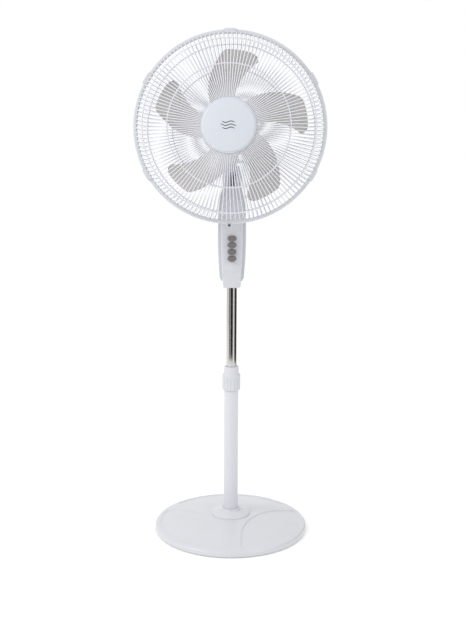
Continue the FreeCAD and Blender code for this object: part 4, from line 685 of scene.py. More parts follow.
@dataclass
class Stand:
    """The cover of the round weighted base and the pole's flange, both about the mast's axis."""

    lobes: int = 3
    lobe_radius: float = 196 * MM
    lobe_offset: float = 253 * MM
    lobe_depth: float = 1.6 * MM
    lobe_edge: float = 1.8 * MM
    border: float = 7 * MM
    edge_round: float = 5 * MM
    rim_height: float = 14 * MM
    wall: float = 2.6 * MM
    dome_bow: float = 2.2 * MM
    dome_steps: int = 110
    pole_gap: float = 0.4 * MM
    flange_wall: float = 2.2 * MM
    flange_gap: float = 0.3 * MM
    collar_wall: float = 4.7 * MM
    collar_height: float = 4.2 * MM
    segments: int = 360

    def build(self) -> None:
        """Makes the base cover and the flange."""
        WHITE_PLASTIC.dress(self.base_cover(), self.flange())

    def lobe_mask(self, radius: np.ndarray, angle: np.ndarray, reach: float) -> np.ndarray:
        """How deep inside a lobe a point is: 0 outside to 1 inside, over a narrow edge.

        The lobes are equal circles set round the axis. The distance into the nearest one, held back by
        the border at the rim, goes through the smooth step 3 t^2 - 2 t^3.

        Args:
            radius: Radii of the points.
            angle: Angles of the points.
            reach: Radius at which the border starts.

        Returns:
            The mask at each point.
        """
        turns = TURN * np.arange(self.lobes) / self.lobes + math.pi / 2
        gap = np.sqrt(radius[..., None] ** 2 + self.lobe_offset ** 2
                      - 2 * radius[..., None] * self.lobe_offset * np.cos(angle[..., None] - turns))
        inside = (self.lobe_radius - gap).max(axis=-1)
        t = np.clip(np.minimum(inside, reach - radius) / self.lobe_edge, 0, 1)
        return t * t * (3 - 2 * t)

    def base_cover(self) -> bpy.types.Object:
        """The domed cover: a height over radius and angle, with a rolled rim and a thin wall below.

        The dome is a shallow arc from the rim to the flange. The lobes are pressed into it by the mask
        times their depth. The underside is a plain cone, one wall lower at its two ends.
        """
        low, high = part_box("base_cover")
        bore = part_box("lower_pole")[1].x + self.pole_gap
        outer, crown, skirt = high.x, high.z, low.z
        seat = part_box("pole_flange")[1].x
        edge = outer - self.edge_round
        dome = bowed((edge, self.rim_height), (seat, crown), self.dome_bow, self.dome_steps)
        neck = np.array([(bore, crown - self.wall), (bore, crown), (seat, crown)])
        rim = rounded([(edge, self.rim_height, 0), (outer, self.rim_height, self.edge_round),
                       (outer, skirt, 0.8 * MM), (outer - self.wall, skirt, 0.5 * MM),
                       (outer - self.wall, self.rim_height - self.wall, 0)], steps=8, closed=False)
        profile = np.vstack([neck, dome[::-1][1:], rim[1:], [(seat, crown - self.wall)]])
        angle = np.linspace(0, TURN, self.segments, endpoint=False)
        radius, height = profile[:, :1], profile[:, 1:]
        pressed = np.zeros_like(radius)
        pressed[len(neck):len(neck) + len(dome) - 1] = self.lobe_depth
        grid = around(radius, angle, height - pressed * self.lobe_mask(radius, angle, edge - self.border))
        return piece("base_shell", skin(grid, loop_rows=True), "stand", ["base_cover"])

    def flange(self) -> bpy.types.Object:
        """Turned profile of the flange: a low cone that runs up to a rounded collar round the pole."""
        low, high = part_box("pole_flange")
        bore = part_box("lower_pole")[1].x + self.flange_gap
        collar = bore + self.collar_wall
        profile = rounded([(high.x, low.z, 0), (high.x, low.z + self.flange_wall, 1.0 * MM),
                           (collar + 2 * MM, high.z - self.collar_height, 2.5 * MM),
                           (collar, high.z, 1.4 * MM), (bore, high.z, 0.5 * MM), (bore, low.z, 0),
                           (high.x - 2 * self.flange_wall, low.z, 0)], steps=5)
        return piece("pole_skirt", lathe(profile, 144), "stand", ["pole_flange"])


@dataclass
class LockNut:
    """Fluted nut that locks the height, with the plain sleeve above its grip."""

    flutes: int = 16
    flute_depth: float = 1.5 * MM
    grip_height: float = 40 * MM
    segments: int = 256

    def build(self) -> None:
        """Makes the nut as a turned profile whose radius dips at each flute.

        The dip is depth * ((1 + cos(n a)) / 2)^3, so that narrow grooves stand between broad ribs, and it
        fades out towards the grip's two ends.
        """
        low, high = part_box("height_lock_nut")
        outer, bore = high.x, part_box("upper_tube")[1].x + 0.4 * MM
        grip = low.z + self.grip_height
        outside = rounded([(outer - 2 * MM, low.z, 0), (outer, low.z + 2 * MM, 2 * MM),
                           (outer, grip - 4 * MM, 3 * MM), (outer - 4 * MM, grip, 1.2 * MM),
                           (high.x - 4.6 * MM, high.z - 1 * MM, 0.8 * MM), (bore, high.z, 0)],
                          steps=6, closed=False)
        wall = np.linspace(outside[7], outside[8], 26)[1:-1]
        outside = np.vstack([outside[:8], wall, outside[8:]])
        inside = np.array([(bore, grip), (outer - 3.6 * MM, grip - 2 * MM), (outer - 3.6 * MM, low.z)])
        profile = np.vstack([outside, inside])
        angle = np.linspace(0, TURN, self.segments, endpoint=False)
        window = np.clip((grip - 3 * MM - profile[:, 1]) / (6 * MM), 0, 1)
        window *= np.clip((profile[:, 1] - low.z) / (3 * MM), 0, 1)
        window[len(outside):] = 0
        dip = self.flute_depth * window[:, None] * ((1 + np.cos(self.flutes * angle)) / 2) ** 3
        radius = profile[:, 0, None] - dip
        grid = around(radius, angle, profile[:, 1, None])
        nut = piece("lock_nut_grip", skin(grid, loop_rows=True), "lock_nut", ["height_lock_nut"],
                    crease=50)
        SATIN_PLASTIC.dress(nut)


# ------------------------------------------------------------------------------------------ the mast


@dataclass
class ControlBox:
    """Long tapered control box on its chromed tube: front panel, rear shell, keys and blanking disc."""

    edge: float = 3.2 * MM
    wall: float = 2.4 * MM
    side_bow: float = 6.2 * MM
    shell_bow: float = 3.6 * MM
    key_gap: float = 0.5 * MM
    cut_depth: float = 40 * MM
    slot_width: float = 16 * MM
    slot_height: float = 32 * MM
    slot_drop: float = 13 * MM
    shell_lift: float = 13 * MM
    shell_round: float = 9 * MM
    shell_rim: float = 9 * MM
    ear_height: float = 26 * MM
    ear_radius: float = 14 * MM
    ear_width: float = 8 * MM
    key_names: tuple[str, ...] = ("off", "low", "medium", "high")

    def build(self) -> None:
        """Makes the tube, both shells, the disc and the four keys."""
        CHROME.dress(self.tube())
        WHITE_PLASTIC.dress(self.panel(), self.disc())
        SATIN_PLASTIC.dress(self.shell())
        for name in self.key_names:
            KEY_PLASTIC.dress(self.key(name))

    def tube(self) -> bpy.types.Object:
        """The chromed tube, turned from a thin ring section."""
        low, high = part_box("upper_tube")
        wall = 1 * MM
        profile = rounded([(high.x - wall, low.z, 0.3 * MM), (high.x, low.z, 0.3 * MM),
                           (high.x, high.z, 0.3 * MM), (high.x - wall, high.z, 0.3 * MM)], steps=2)
        return piece("chromed_tube", lathe(profile, 128), "mast", ["upper_tube"])

    def standing(self, flat: np.ndarray) -> np.ndarray:
        """Turns (across, up, towards the front) points into the frame's (x, y, z)."""
        return np.stack([flat[..., 0], -flat[..., 2], flat[..., 1]], axis=-1)

    def panel_outline(self) -> np.ndarray:
        """The panel's face outline, anticlockwise: bowed sides from a narrow foot to a narrower head."""
        low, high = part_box("control_panel")
        foot, head, turn = high.x - 5.5 * MM, high.x - 7.3 * MM, 3.5 * MM
        right = bowed((foot, low.z + turn), (head, high.z - turn), self.side_bow, 30)
        floor = rounded([(0, low.z, 0), (foot - 0.4 * MM, low.z, turn), (*right[0], 0)], 5, False)
        top = rounded([(*right[-1], 0), (head - 0.3 * MM, high.z, turn), (0, high.z, 0)], 5, False)
        half = np.vstack([floor[:-1], right, top[1:]])
        mirrored = half[::-1][1:-1] * np.array([-1, 1])
        return np.vstack([half, mirrored])

    def panel(self) -> bpy.types.Object:
        """The front shell: its outline drawn in along a rounded edge, hollow behind, with its windows cut."""
        low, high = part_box("control_panel")
        outline = self.panel_outline()
        front, back = -low.y, -high.y
        face = [(back, 0.0), *quarter(self.edge, front, 6)]
        outer = self.standing(pillow(outline, face))
        inside = front - self.wall
        hollow = self.standing(pillow(outline, [(back - 5 * MM, self.wall), (inside - 2 * MM, self.wall),
                                                (inside, self.edge)]))
        shell = solid("box_front", skin(outer))
        carved(shell, [skin(hollow)])
        cutters = [self.key_bar(name) for name in self.key_names]
        cutters.append(self.slot_bar())
        cutters.append(self.tube_bar(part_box("control_housing")[0].z))
        carved(shell, cutters)
        return adopted(shell, "mast", ["control_panel"])

    def key_outline(self, name: str, gap: float) -> np.ndarray:
        """An oval between an ellipse and a rectangle: |x/a|^2.5 + |y/b|^2.5 = 1, as sines and cosines."""
        low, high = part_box(f"button_{name}")
        angle = np.linspace(0, TURN, 56, endpoint=False)
        c, s = np.cos(angle), np.sin(angle)
        half_width, half_height = (high.x - low.x) / 2 + gap, (high.z - low.z) / 2 + gap
        return np.stack([half_width * np.sign(c) * np.abs(c) ** 0.8 + (high.x + low.x) / 2,
                         half_height * np.sign(s) * np.abs(s) ** 0.8 + (high.z + low.z) / 2], axis=-1)

    def key_bar(self, name: str) -> Surface:
        """A straight bar of the key's outline and its gap, which cuts its window."""
        flat = pillow(self.key_outline(name, self.key_gap), [(0, 0), (self.cut_depth, 0)])
        return skin(self.standing(flat))

    def slot_bar(self) -> Surface:
        """A bar that cuts the narrow window through which the neck shows."""
        top, side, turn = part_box("control_panel")[1].z - self.slot_drop, self.slot_width / 2, 2 * MM
        floor = top - self.slot_height
        outline = rounded([(-side, floor, turn), (side, floor, turn),
                           (side, top, turn), (-side, top, turn)], 4)
        return skin(self.standing(pillow(outline, [(0, 0), (self.cut_depth, 0)])))

    def tube_bar(self, bottom: float) -> Surface:
        """A round bar along the tube that opens both shells' floors for it."""
        return round_bar(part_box("upper_tube")[1].x + 0.6 * MM, bottom - 20 * MM, bottom + 8 * MM)

    def key(self, name: str) -> bpy.types.Object:
        """A push key: its oval carried forwards, rounded over, with a shallow dish in its face."""
        low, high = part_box(f"button_{name}")
        front, back = -low.y, -high.y
        outline = self.key_outline(name, 0.0)
        stations = [(back, 0.0), *quarter(2.2 * MM, front, 6), (front - 0.35 * MM, 4.2 * MM)]
        cap = skin(self.standing(pillow(outline, stations)))
        return piece(f"key_{name}_cap", cap, f"key_{name}", [f"button_{name}"])

    def disc(self) -> bpy.types.Object:
        """The round blanking disc under the keys, slightly crowned, with a rounded edge."""
        low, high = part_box("timer_blank")
        radius, centre = (high.x - low.x) / 2, (high.z + low.z) / 2
        front, back = -low.y, -high.y
        profile = rounded([(0, back, 0), (radius, back, 0), (radius - 0.2 * MM, front - 0.4 * MM, 0.4 * MM),
                           (0, front, 0)], 4, False)
        turned = lathe(profile, 72, closed=False)
        x, y, z = turned.points.T
        return piece("blank_disc", turned.moved(np.stack([x, -z, y + centre], axis=-1)), "mast",
                     ["timer_blank"])

    def shell(self) -> bpy.types.Object:
        """The rear shell: a bowed outline swept back over a soft edge, hollow, with ears for the neck."""
        low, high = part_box("control_housing")
        front, back = -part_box("control_panel")[1].y, -high.y
        roof = high.z - self.ear_height
        foot, shoulder, head = high.x - 9 * MM, high.x - 3.2 * MM, high.x - 16.7 * MM
        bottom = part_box("control_panel")[0].z + self.shell_lift
        side = bowed((foot + 4.5 * MM, bottom + 9 * MM), (shoulder, roof - 41 * MM), self.shell_bow, 26)
        floor = rounded([(0, bottom, 0), (foot, bottom, 3 * MM), (*side[0], 0)], 5, False)
        top = rounded([(*side[-1], 0), (head, roof, 6 * MM), (0, roof, 0)], 6, False)
        half = np.vstack([floor[:-1], side, top[1:]])
        outline = np.vstack([half, half[::-1][1:-1] * np.array([-1, 1])])
        turn, wall = self.shell_round, self.wall
        edge = [(back + turn * (1 - math.sin(a)), turn * (1 - math.cos(a)))
                for a in np.linspace(0, TURN / 4, 9)]
        outer = self.standing(shrunk(outline, [(front, 0.0), *edge]))
        hollow = self.standing(shrunk(outline, [(back + wall, 8 * MM), (back + turn, wall),
                                                (front - wall, wall)]))
        window = self.standing(shrunk(outline, [(front - 2 * wall, self.shell_rim),
                                                (front + wall, self.shell_rim)]))
        body = solid("box_back", skin(outer))
        carved(body, [skin(hollow)])
        carved(body, [skin(window)])
        carved(body, [self.tube_bar(low.z)])
        ears = [self.ear(side_of) for side_of in (-1, 1)]
        whole = joined([Surface(mesh_points(body), mesh_faces(body)), *ears])
        bpy.data.objects.remove(body)
        return adopted(solid("box_back", whole), "mast", ["control_housing"])

    def ear(self, side: int) -> Surface:
        """One ear of the tilt joint: a rounded cheek beside the neck, standing on the shell's roof."""
        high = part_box("control_housing")[1]
        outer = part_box("tilt_nut")[0].x
        inner, radius = outer - self.ear_width, self.ear_radius
        pivot = high.z - radius
        arch = np.linspace(0, math.pi, 25)
        outline = np.vstack([[(radius * math.cos(a), pivot + radius * math.sin(a)) for a in arch],
                             [(-radius, pivot - 30 * MM), (radius, pivot - 30 * MM)]])
        flat = pillow(outline, [(inner, 0.8 * MM), (inner + 0.8 * MM, 0), (outer - 0.8 * MM, 0),
                                (outer, 0.8 * MM)])
        return skin(np.stack([side * flat[..., 2], flat[..., 0], flat[..., 1]], axis=-1))


def mesh_points(obj: bpy.types.Object) -> np.ndarray:
    """An object's points as an array."""
    flat = np.empty(len(obj.data.vertices) * 3)
    obj.data.vertices.foreach_get("co", flat)
    return flat.reshape(-1, 3)


def mesh_faces(obj: bpy.types.Object) -> list[np.ndarray]:
    """An object's faces, each as an array of one row."""
    return [np.array(polygon.vertices)[None] for polygon in obj.data.polygons]


# ------------------------------------------------------------------------------------------ the head


@dataclass
class Motor:
    """Motor cover and its bowl-shaped rear shell, turned about the shaft."""

    axes: Axes
    nodes: dict[str, bpy.types.Object]
    wall: float = 2.2 * MM
    slots: int = 18
    slot_width: float = 3 * MM
    slot_inner: float = 14 * MM
    slot_outer: float = 27 * MM

    def build(self) -> None:
        """Makes the front cover and the vented rear shell."""
        SATIN_PLASTIC.dress(self.cover(), self.shell())

    def cover(self) -> bpy.types.Object:
        """A shallow cup that closes the motor's front: flat face, rounded edge, short skirt."""
        reach = self.axes.extent(self.nodes["motor_front_cover"])
        wall = 2.5 * MM
        profile = rounded([(reach.inner, reach.high, 0.4 * MM), (reach.inner, reach.high - wall, 0),
                           (reach.outer - wall, reach.high - wall, 0), (reach.outer - wall, reach.low, 0),
                           (reach.outer, reach.low, 0.4 * MM), (reach.outer, reach.high, 1.5 * MM)], 4)
        return piece("motor_face", self.axes.place(lathe(profile, 128)), "head", ["motor_front_cover"])

    def shell(self) -> bpy.types.Object:
        """The rear bowl: its profile runs in a shallow arc to a rounded back, with slots cut at the back."""
        reach = self.axes.extent(self.nodes["motor_housing"])
        cover = self.axes.extent(self.nodes["motor_front_cover"])
        mouth = cover.outer - 2.9 * MM
        front, lip, back = reach.high, cover.low - 0.3 * MM, reach.low
        outside = np.vstack([
            [(mouth, front), (mouth, cover.low), (reach.outer, lip)],
            rounded([(reach.outer - 0.2 * MM, lip - 1 * MM, 0), (reach.outer - 5 * MM, lip * 0.35, 60 * MM),
                     (reach.outer - 13 * MM, back + 17 * MM, 60 * MM), (reach.outer - 27 * MM, back, 24 * MM),
                     (0, back, 0)], 9, False)])
        inside = outside[::-1].copy()
        inside[:, 0] = np.clip(inside[:, 0] - self.wall, 0, None)
        inside[:, 1] = np.maximum(inside[:, 1], back + self.wall)
        inside[-3:, 0] = mouth - self.wall
        body = solid("motor_shell", lathe(np.vstack([outside, inside]), 128, closed=False))
        low, high = back - 5 * MM, back + 8 * MM
        side, turn = self.slot_width / 2, 1.4 * MM
        flat = rounded([(self.slot_inner, -side, turn), (self.slot_outer, -side, turn),
                        (self.slot_outer, side, turn), (self.slot_inner, side, turn)], 3)
        slot = skin(pillow(flat, [(low, 0), (high, 0)]))
        mouth_box = box_surface((-22 * MM, -reach.outer - 10 * MM, -56 * MM), (22 * MM, -34 * MM, 18 * MM))
        knob = self.axes.turn.T @ (np.array(centre_of("clutch_knob")) - self.axes.origin)
        rod = round_bar(3.2 * MM, 20 * MM, reach.outer + 10 * MM)
        x, y, z = rod.points.T
        rod = rod.moved(np.stack([x + knob[0], z, y + knob[2]], axis=-1))
        carved(body, [repeated(slot, TURN * np.arange(self.slots) / self.slots), mouth_box, rod])
        whole = self.axes.place(Surface(mesh_points(body), mesh_faces(body)))
        bpy.data.objects.remove(body)
        return piece("motor_shell", whole, "head", ["motor_housing"])


def centre_of(node: str) -> tuple[float, float, float]:
    """The middle of a CAD node's box."""
    low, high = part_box(node)
    return tuple((low + high) / 2)


@dataclass
class Guard:
    """Front and rear wire cages, the band that joins them, the cap and the nut that holds the rear cage."""

    axes: Axes
    nodes: dict[str, bpy.types.Object]
    wires: int = 132
    wire: float = 1.0 * MM
    rear_rise: float = 15 * MM
    rear_bend: float = 20 * MM
    front_fall: float = 14.5 * MM
    front_bend: float = 26 * MM
    nut_lobes: int = 8

    def build(self) -> None:
        """Makes both cages, the band, the cap, its mark and the rear nut."""
        WIRE_PAINT.dress(self.rear_cage(), self.front_cage())
        SATIN_PLASTIC.dress(self.band(), self.rear_nut())
        CAP_PLASTIC.dress(self.cap())
        DARK_PLASTIC.dress(self.mark())

    def cage(self, name: str, node: str, start: tuple[float, float], corner: tuple[float, float], end: float,
             bend: float) -> bpy.types.Object:
        """Equal wires round the shaft, each a thin tube along two straight runs joined by one bend.

        Args:
            name: The piece's name.
            node: The CAD node it stands for.
            start: (radius, height) of the wire's inner end.
            corner: (radius, height) where the two runs would meet.
            end: Height of the wire's outer end.
            bend: Radius of the bend.

        Returns:
            The cage.
        """
        path = rounded([(*start, 0), (*corner, bend), (corner[0], end, 0)], 4, False)
        line = np.stack([path[:, 0], 0 * path[:, 0], path[:, 1]], axis=-1)
        one = skin(tube(line, self.wire, 5))
        turns = (np.arange(self.wires) + 0.5) * TURN / self.wires
        return piece(name, self.axes.place(repeated(one, turns)), "head", [node], crease=80)

    def rear_cage(self) -> bpy.types.Object:
        """The rear cage: wires from the motor's plate out to the rim."""
        reach = self.axes.extent(self.nodes["rear_guard_wires"])
        radius = reach.outer - self.wire
        low = reach.low + self.wire
        corner = (radius, low + self.rear_rise)
        return self.cage("rear_cage", "rear_guard_wires", (reach.inner, low), corner,
                         reach.high, self.rear_bend)

    def front_cage(self) -> bpy.types.Object:
        """The front cage: wires from behind the cap out to the rim."""
        reach = self.axes.extent(self.nodes["front_guard_wires"])
        radius = reach.outer - self.wire
        high = reach.high - self.wire
        corner = (radius, high - self.front_fall)
        return self.cage("front_cage", "front_guard_wires", (reach.inner, high), corner,
                         reach.low, self.front_bend)

    def band(self) -> bpy.types.Object:
        """The plastic band over both rims: a channel section turned about the shaft."""
        reach = self.axes.extent(self.nodes["guard_band"])
        rings = self.axes.extent(self.nodes["front_guard_rings"])
        wall, outer = 2.2 * MM, rings.outer + 3 * MM
        profile = rounded([(reach.inner, reach.low, 0.6 * MM), (outer, reach.low, 2.4 * MM),
                           (outer, reach.high, 2.4 * MM), (reach.inner, reach.high, 0.6 * MM),
                           (reach.inner, reach.high - wall, 0), (outer - wall, reach.high - wall, 0),
                           (outer - wall, reach.low + wall, 0), (reach.inner, reach.low + wall, 0)], 4)
        lug = box_surface((-7 * MM, -outer - 6 * MM, reach.low), (7 * MM, -outer + 0.6 * MM, reach.high))
        return piece("rim_band", self.axes.place(joined([lathe(profile, 240), lug])), "head", ["guard_band"],
                     bevel=0.6 * MM)

    def cap(self) -> bpy.types.Object:
        """The round cap: a shallow dome over a rounded edge and a thin flange."""
        reach = self.axes.extent(self.nodes["front_cap"])
        face, dome, wall = reach.outer - 4 * MM, 4 * MM, 2 * MM
        top = reach.high - dome
        arc = bowed((face - 2.2 * MM, top), (0, reach.high), 1.0 * MM, 24)
        edge = rounded([(reach.outer, top - 5 * MM, 0), (reach.outer, top - 3.2 * MM, 0.8 * MM),
                        (face + 0.4 * MM, top - 3 * MM, 0.6 * MM), (face, top, 2.2 * MM), (*arc[1], 0)],
                       6, False)
        under = np.array([(0, top - wall), (face - wall, top - wall - 1 * MM), (face - wall, top - 5 * MM)])
        profile = np.vstack([edge, arc[2:], under])
        return piece("centre_cap", self.axes.place(lathe(profile, 160, closed=False)), "head", ["front_cap"])

    def mark(self) -> bpy.types.Object:
        """A plain pictogram on the cap: three short wavy strokes, as on an air outlet."""
        reach = self.axes.extent(self.nodes["front_cap"])
        strokes = [self.stroke(level, reach) for level in (-1, 0, 1)]
        return piece("breeze_mark", self.axes.place(joined(strokes)), "head", [])

    def stroke(self, level: int, reach: Extent) -> Surface:
        """One wavy stroke: height a sin(k x) over a short span, as a flat strip that follows the dome."""
        span = 17 * MM * (1 - 0.2 * abs(level))
        x = np.linspace(-span, span, 41)
        middle = level * 6.5 * MM + 1.6 * MM * np.sin(x / (17 * MM) * 1.5 * math.pi)
        half = 0.9 * MM * np.sqrt(np.clip(1 - (x / span) ** 8, 0.02, 1))
        rise = self.dome_height(np.hypot(x, middle), reach)
        sides = [(-half, -0.6 * MM), (half, -0.6 * MM), (half, 0.12 * MM), (-half, 0.12 * MM)]
        grid = np.stack([np.stack([x, middle + y, rise + z], axis=-1) for y, z in sides], axis=1)
        return skin(grid)

    def dome_height(self, radius: np.ndarray, reach: Extent) -> np.ndarray:
        """Height of the cap's dome over its radius: the rise plus the bow of the arc that makes it."""
        face = reach.outer - 6.2 * MM
        share = np.clip(1 - radius / face, 0, 1)
        return reach.high - 4 * MM * (1 - share) + 4 * MM * share * (1 - share)

    def rear_nut(self) -> bpy.types.Object:
        """The plastic nut behind the blades: a disc whose rim swells into finger lobes.

        The radius is R - d (1 - cos(n a)) / 2 over the grip and stays plain at the face.
        """
        reach = self.axes.extent(self.nodes["rear_guard_nut"])
        profile = rounded([(reach.inner, reach.low, 0), (reach.outer, reach.low, 0.8 * MM),
                           (reach.outer, reach.high, 1.6 * MM), (reach.inner, reach.high, 0.4 * MM)], 4)
        angle = np.linspace(0, TURN, 192, endpoint=False)
        swell = np.where(profile[:, 0] > (reach.inner + reach.outer) / 2, 2.4 * MM, 0)[:, None]
        radius = profile[:, 0, None] - swell * (1 - np.cos(self.nut_lobes * angle)) / 2
        grid = around(radius, angle, profile[:, 1, None])
        return piece("cage_nut", self.axes.place(skin(grid, loop_rows=True)), "head", ["rear_guard_nut"],
                     crease=50)


@dataclass
class FanBlade:
    """Five swept blades on a hub cup, and the nut that holds them on the shaft."""

    axes: Axes
    nodes: dict[str, bpy.types.Object]
    count: int = 5
    hub: float = 52 * MM
    middle: float = 116 * MM
    depth_root: float = 42 * MM
    depth_tip: float = 34 * MM
    camber: float = 5 * MM
    thickness: float = 2 * MM
    tip_rounding: float = 0.085
    lead: tuple[float, float, float] = (12, -5, -12)
    trail: tuple[float, float] = (64, -38)
    nut_ribs: int = 18
    nut_rib_depth: float = 0.9 * MM
    across_steps: int = 28
    along_steps: int = 40

    def build(self) -> None:
        """Makes the blades with their hub, and the nut."""
        BLADE_PLASTIC.dress(self.blades(), self.nut())

    @property
    def tip(self) -> float:
        """Radius of the blades' tips, as in the CAD."""
        return self.axes.extent(self.nodes["fan_blade"]).outer

    @property
    def root(self) -> float:
        """Radius at which the blades start, inside the hub's wall."""
        return self.hub - 1.5 * MM

    def sheet(self, across: np.ndarray, along: np.ndarray, lift: np.ndarray) -> np.ndarray:
        """Points of one blade over two shares: across, from its leading to its trailing edge, and along.

        The leading edge is at a + b t + c t^2 degrees and the trailing edge at d + e t degrees, for the
        share t along. The tip's radius is drawn in by a share of |2 u - 1|^6, which rounds its corners.
        The height rises from edge to edge by the blade's depth, less the camber times 1 - (2 u - 1)^2.

        Args:
            across: Share u from the leading edge to the trailing edge.
            along: Share t from the hub to the tip.
            lift: Height over the blade's middle surface.

        Returns:
            The points.
        """
        tip = self.tip * (1 - self.tip_rounding * np.abs(2 * across - 1) ** 6)
        radius = self.root + (tip - self.root) * along
        lead = self.lead[0] + self.lead[1] * along + self.lead[2] * along ** 2
        trail = self.trail[0] + self.trail[1] * along
        angle = np.radians(lead + (trail - lead) * across)
        depth = self.depth_root + (self.depth_tip - self.depth_root) * along
        camber = self.camber * (1 - (2 * across - 1) ** 2)
        height = self.middle + (across - 0.5) * depth - camber + lift
        return around(radius, angle, height)

    def blades(self) -> bpy.types.Object:
        """All the blades, each closed round its edge, on the hub cup."""
        u, t = np.meshgrid(np.linspace(0, 1, self.across_steps), np.linspace(0, 1, self.along_steps))
        taper = np.sqrt(np.clip(1 - np.abs(2 * u - 1) ** 10, 0, 1)) * np.sqrt(np.clip(1 - t ** 24, 0, 1))
        half = self.thickness / 2 * np.maximum(taper, 0.12)
        front, back = self.sheet(u, t, half), self.sheet(u, t, -half)
        one = skin(np.concatenate([front, back[:, ::-1]], axis=1))
        spokes = repeated(one, TURN * np.arange(self.count) / self.count)
        low, high = self.middle - 23 * MM, self.middle + 22 * MM
        cup = rounded([(5 * MM, high, 0), (self.hub, high, 7 * MM), (self.hub, low, 0.6 * MM),
                       (self.hub - 2.5 * MM, low, 0), (self.hub - 2.5 * MM, high - 4 * MM, 4 * MM),
                       (10 * MM, high - 2.5 * MM, 0), (10 * MM, low + 2 * MM, 0),
                       (5 * MM, low + 2 * MM, 0)], 6)
        wheel = self.axes.place(joined([spokes, lathe(cup, 128)]))
        return piece("blade_wheel", wheel, "rotor", ["fan_blade"], crease=40)

    def nut(self) -> bpy.types.Object:
        """The blade nut: a tapered knob whose radius drops by d (1 + cos(n a)) / 2 between its ribs."""
        reach = self.axes.extent(self.nodes["blade_nut"])
        profile = rounded([(reach.inner, reach.low, 0), (reach.outer, reach.low, 0.8 * MM),
                           (reach.outer - 2 * MM, reach.high, 2 * MM), (1 * MM, reach.high, 0)], 5, False)
        profile = np.vstack([profile, [(1 * MM, reach.high - 3 * MM), (reach.inner, reach.high - 3 * MM)]])
        angle = np.linspace(0, TURN, 180, endpoint=False)
        rib = np.where(profile[:, 0] > reach.outer * 0.7, self.nut_rib_depth, 0)[:, None]
        radius = profile[:, 0, None] - rib * (1 + np.cos(self.nut_ribs * angle)) / 2
        grid = around(radius, angle, profile[:, 1, None])
        return piece("blade_nut_knob", self.axes.place(skin(grid, loop_rows=True)), "rotor", ["blade_nut"],
                     crease=50)


# ------------------------------------------------------------------------------------------ the studio


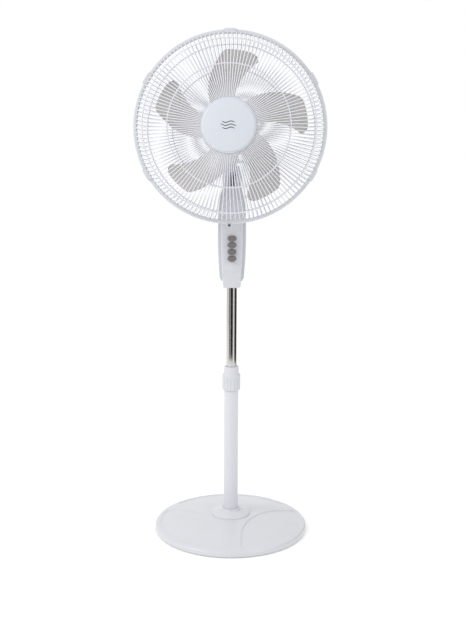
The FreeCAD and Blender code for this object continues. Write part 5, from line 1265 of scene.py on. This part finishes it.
@dataclass
class Studio:
    """Plain pale floor, soft lights, dark cards for the chrome to mirror, and the camera."""

    camera_place: tuple[float, float, float] = (-0.0003, -2.40, 1.00)
    pitch: float = 6.0
    roll: float = -0.28
    lens: float = 57.8
    shift: float = -0.162
    sensor: float = 36.0
    card_reach: float = 1.3
    card_heights: tuple[float, float] = (0.02, 1.6)
    card_steps: int = 9

    def build(self) -> None:
        """Sets up the whole studio."""
        self.world()
        self.floor()
        self.lights()
        self.cards()
        self.camera()
        bpy.context.scene.view_settings.view_transform = "Standard"

    def world(self) -> None:
        """An even pale surround."""
        world = bpy.data.worlds.new("surround")
        world.use_nodes = True
        world.node_tree.nodes["Background"].inputs["Color"].default_value = (1, 1, 1, 1)
        world.node_tree.nodes["Background"].inputs["Strength"].default_value = 1.0
        bpy.context.scene.world = world

    def floor(self) -> None:
        """A wide flat floor, a little self-lit so that it meets the surround with no line."""
        mesh = bpy.data.meshes.new("studio_floor")
        mesh.from_pydata([(-40, -20, 0), (40, -20, 0), (40, 90, 0), (-40, 90, 0)], [], [(0, 1, 2, 3)])
        floor = bpy.data.objects.new("studio_floor", mesh)
        bpy.context.scene.collection.objects.link(floor)
        shader = self.paint(mesh, "studio_floor_paint", 0.8, 0.9)
        shader.inputs["Specular IOR Level"].default_value = 0.0
        shader.inputs["Emission Color"].default_value = (1, 1, 1, 1)
        shader.inputs["Emission Strength"].default_value = 0.2

    def paint(self, mesh: bpy.types.Mesh, name: str, shade: float, roughness: float) -> bpy.types.Node:
        """Gives a mesh of the studio one plain grey material and returns its shader."""
        made = bpy.data.materials.new(name)
        made.use_nodes = True
        shader = made.node_tree.nodes["Principled BSDF"]
        shader.inputs["Base Color"].default_value = (shade, shade, shade, 1)
        shader.inputs["Roughness"].default_value = roughness
        mesh.materials.append(made)
        return shader

    def lights(self) -> None:
        """A large soft light from the upper left and a small weak one from the right."""
        self.area("key_light", (-2.2, -1.3, 2.3), (0, 0, 0.4), 1.2, 30.0)
        self.area("side_light", (1.6, -1.5, 1.3), (0, 0, 0.6), 0.5, 3.0)

    def area(self, name: str, place: Sequence[float], aim: Sequence[float], width: float,
             power: float) -> None:
        """A square area light at a place, aimed at a point."""
        data = bpy.data.lights.new(name, "AREA")
        data.size, data.energy = width, power
        light = bpy.data.objects.new(name, data)
        light.location = place
        light.rotation_mode = "QUATERNION"
        light.rotation_quaternion = (Vector(aim) - Vector(place)).to_track_quat("-Z", "Y")
        bpy.context.scene.collection.objects.link(light)

    def cards(self) -> None:
        """Upright cards that only reflections see, each a curved strip at one distance from the mast."""
        self.card("dark_card_front", -112, -60, 0.02)
        self.card("grey_card_left", -156, -114, 0.32)
        self.card("dark_card_right", -24, 62, 0.03)

    def card(self, name: str, start: float, end: float, shade: float) -> None:
        """One card: x = R cos a, y = R sin a for angles from start to end, over its height."""
        turns = np.radians(np.linspace(start, end, self.card_steps))
        grid = around(self.card_reach, turns, np.array(self.card_heights)[:, None])
        mesh = bpy.data.meshes.new(name)
        mesh.from_pydata(grid.reshape(-1, 3).tolist(), [], grid_faces(*grid.shape[:2]).tolist())
        card = bpy.data.objects.new(name, mesh)
        bpy.context.scene.collection.objects.link(card)
        self.paint(mesh, f"{name}_felt", shade, 1.0)
        card.visible_camera = False
        card.visible_diffuse = False
        card.visible_shadow = False
        card.visible_transmission = False

    def camera(self) -> None:
        """The camera in front of the fan, a little above its axis and pitched down."""
        data = bpy.data.cameras.new("camera")
        data.sensor_fit, data.sensor_height = "VERTICAL", self.sensor
        data.lens, data.shift_y = self.lens, self.shift
        camera = bpy.data.objects.new("camera", data)
        camera.location = self.camera_place
        camera.rotation_euler = (math.radians(90 - self.pitch), math.radians(self.roll), 0)
        bpy.context.scene.collection.objects.link(camera)
        bpy.context.scene.camera = camera


def dress_nodes(frame: dict) -> None:
    """Gives every CAD node that still shows the finish of its record slot."""
    slots = {part["node"]: part["material_slot"] for part in frame["record"]["subparts"]}
    for name, node in frame["nodes"].items():
        SLOT_FINISH[slots.get(name, "white_plastic")].dress(node)
        LOG.info("CAD node %s: %s", name, slots.get(name))


def main() -> None:
    """Builds the fan round its frame."""
    logging.basicConfig(level=logging.INFO, format="%(name)s: %(message)s")
    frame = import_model()
    dress_nodes(frame)
    shaft = Axes.of_shaft(frame["joints"])
    Studio().build()
    Stand().build()
    LockNut().build()
    ControlBox().build()
    Motor(shaft, frame["nodes"]).build()
    Guard(shaft, frame["nodes"]).build()
    FanBlade(shaft, frame["nodes"]).build()


if __name__ == "__main__":
    main()
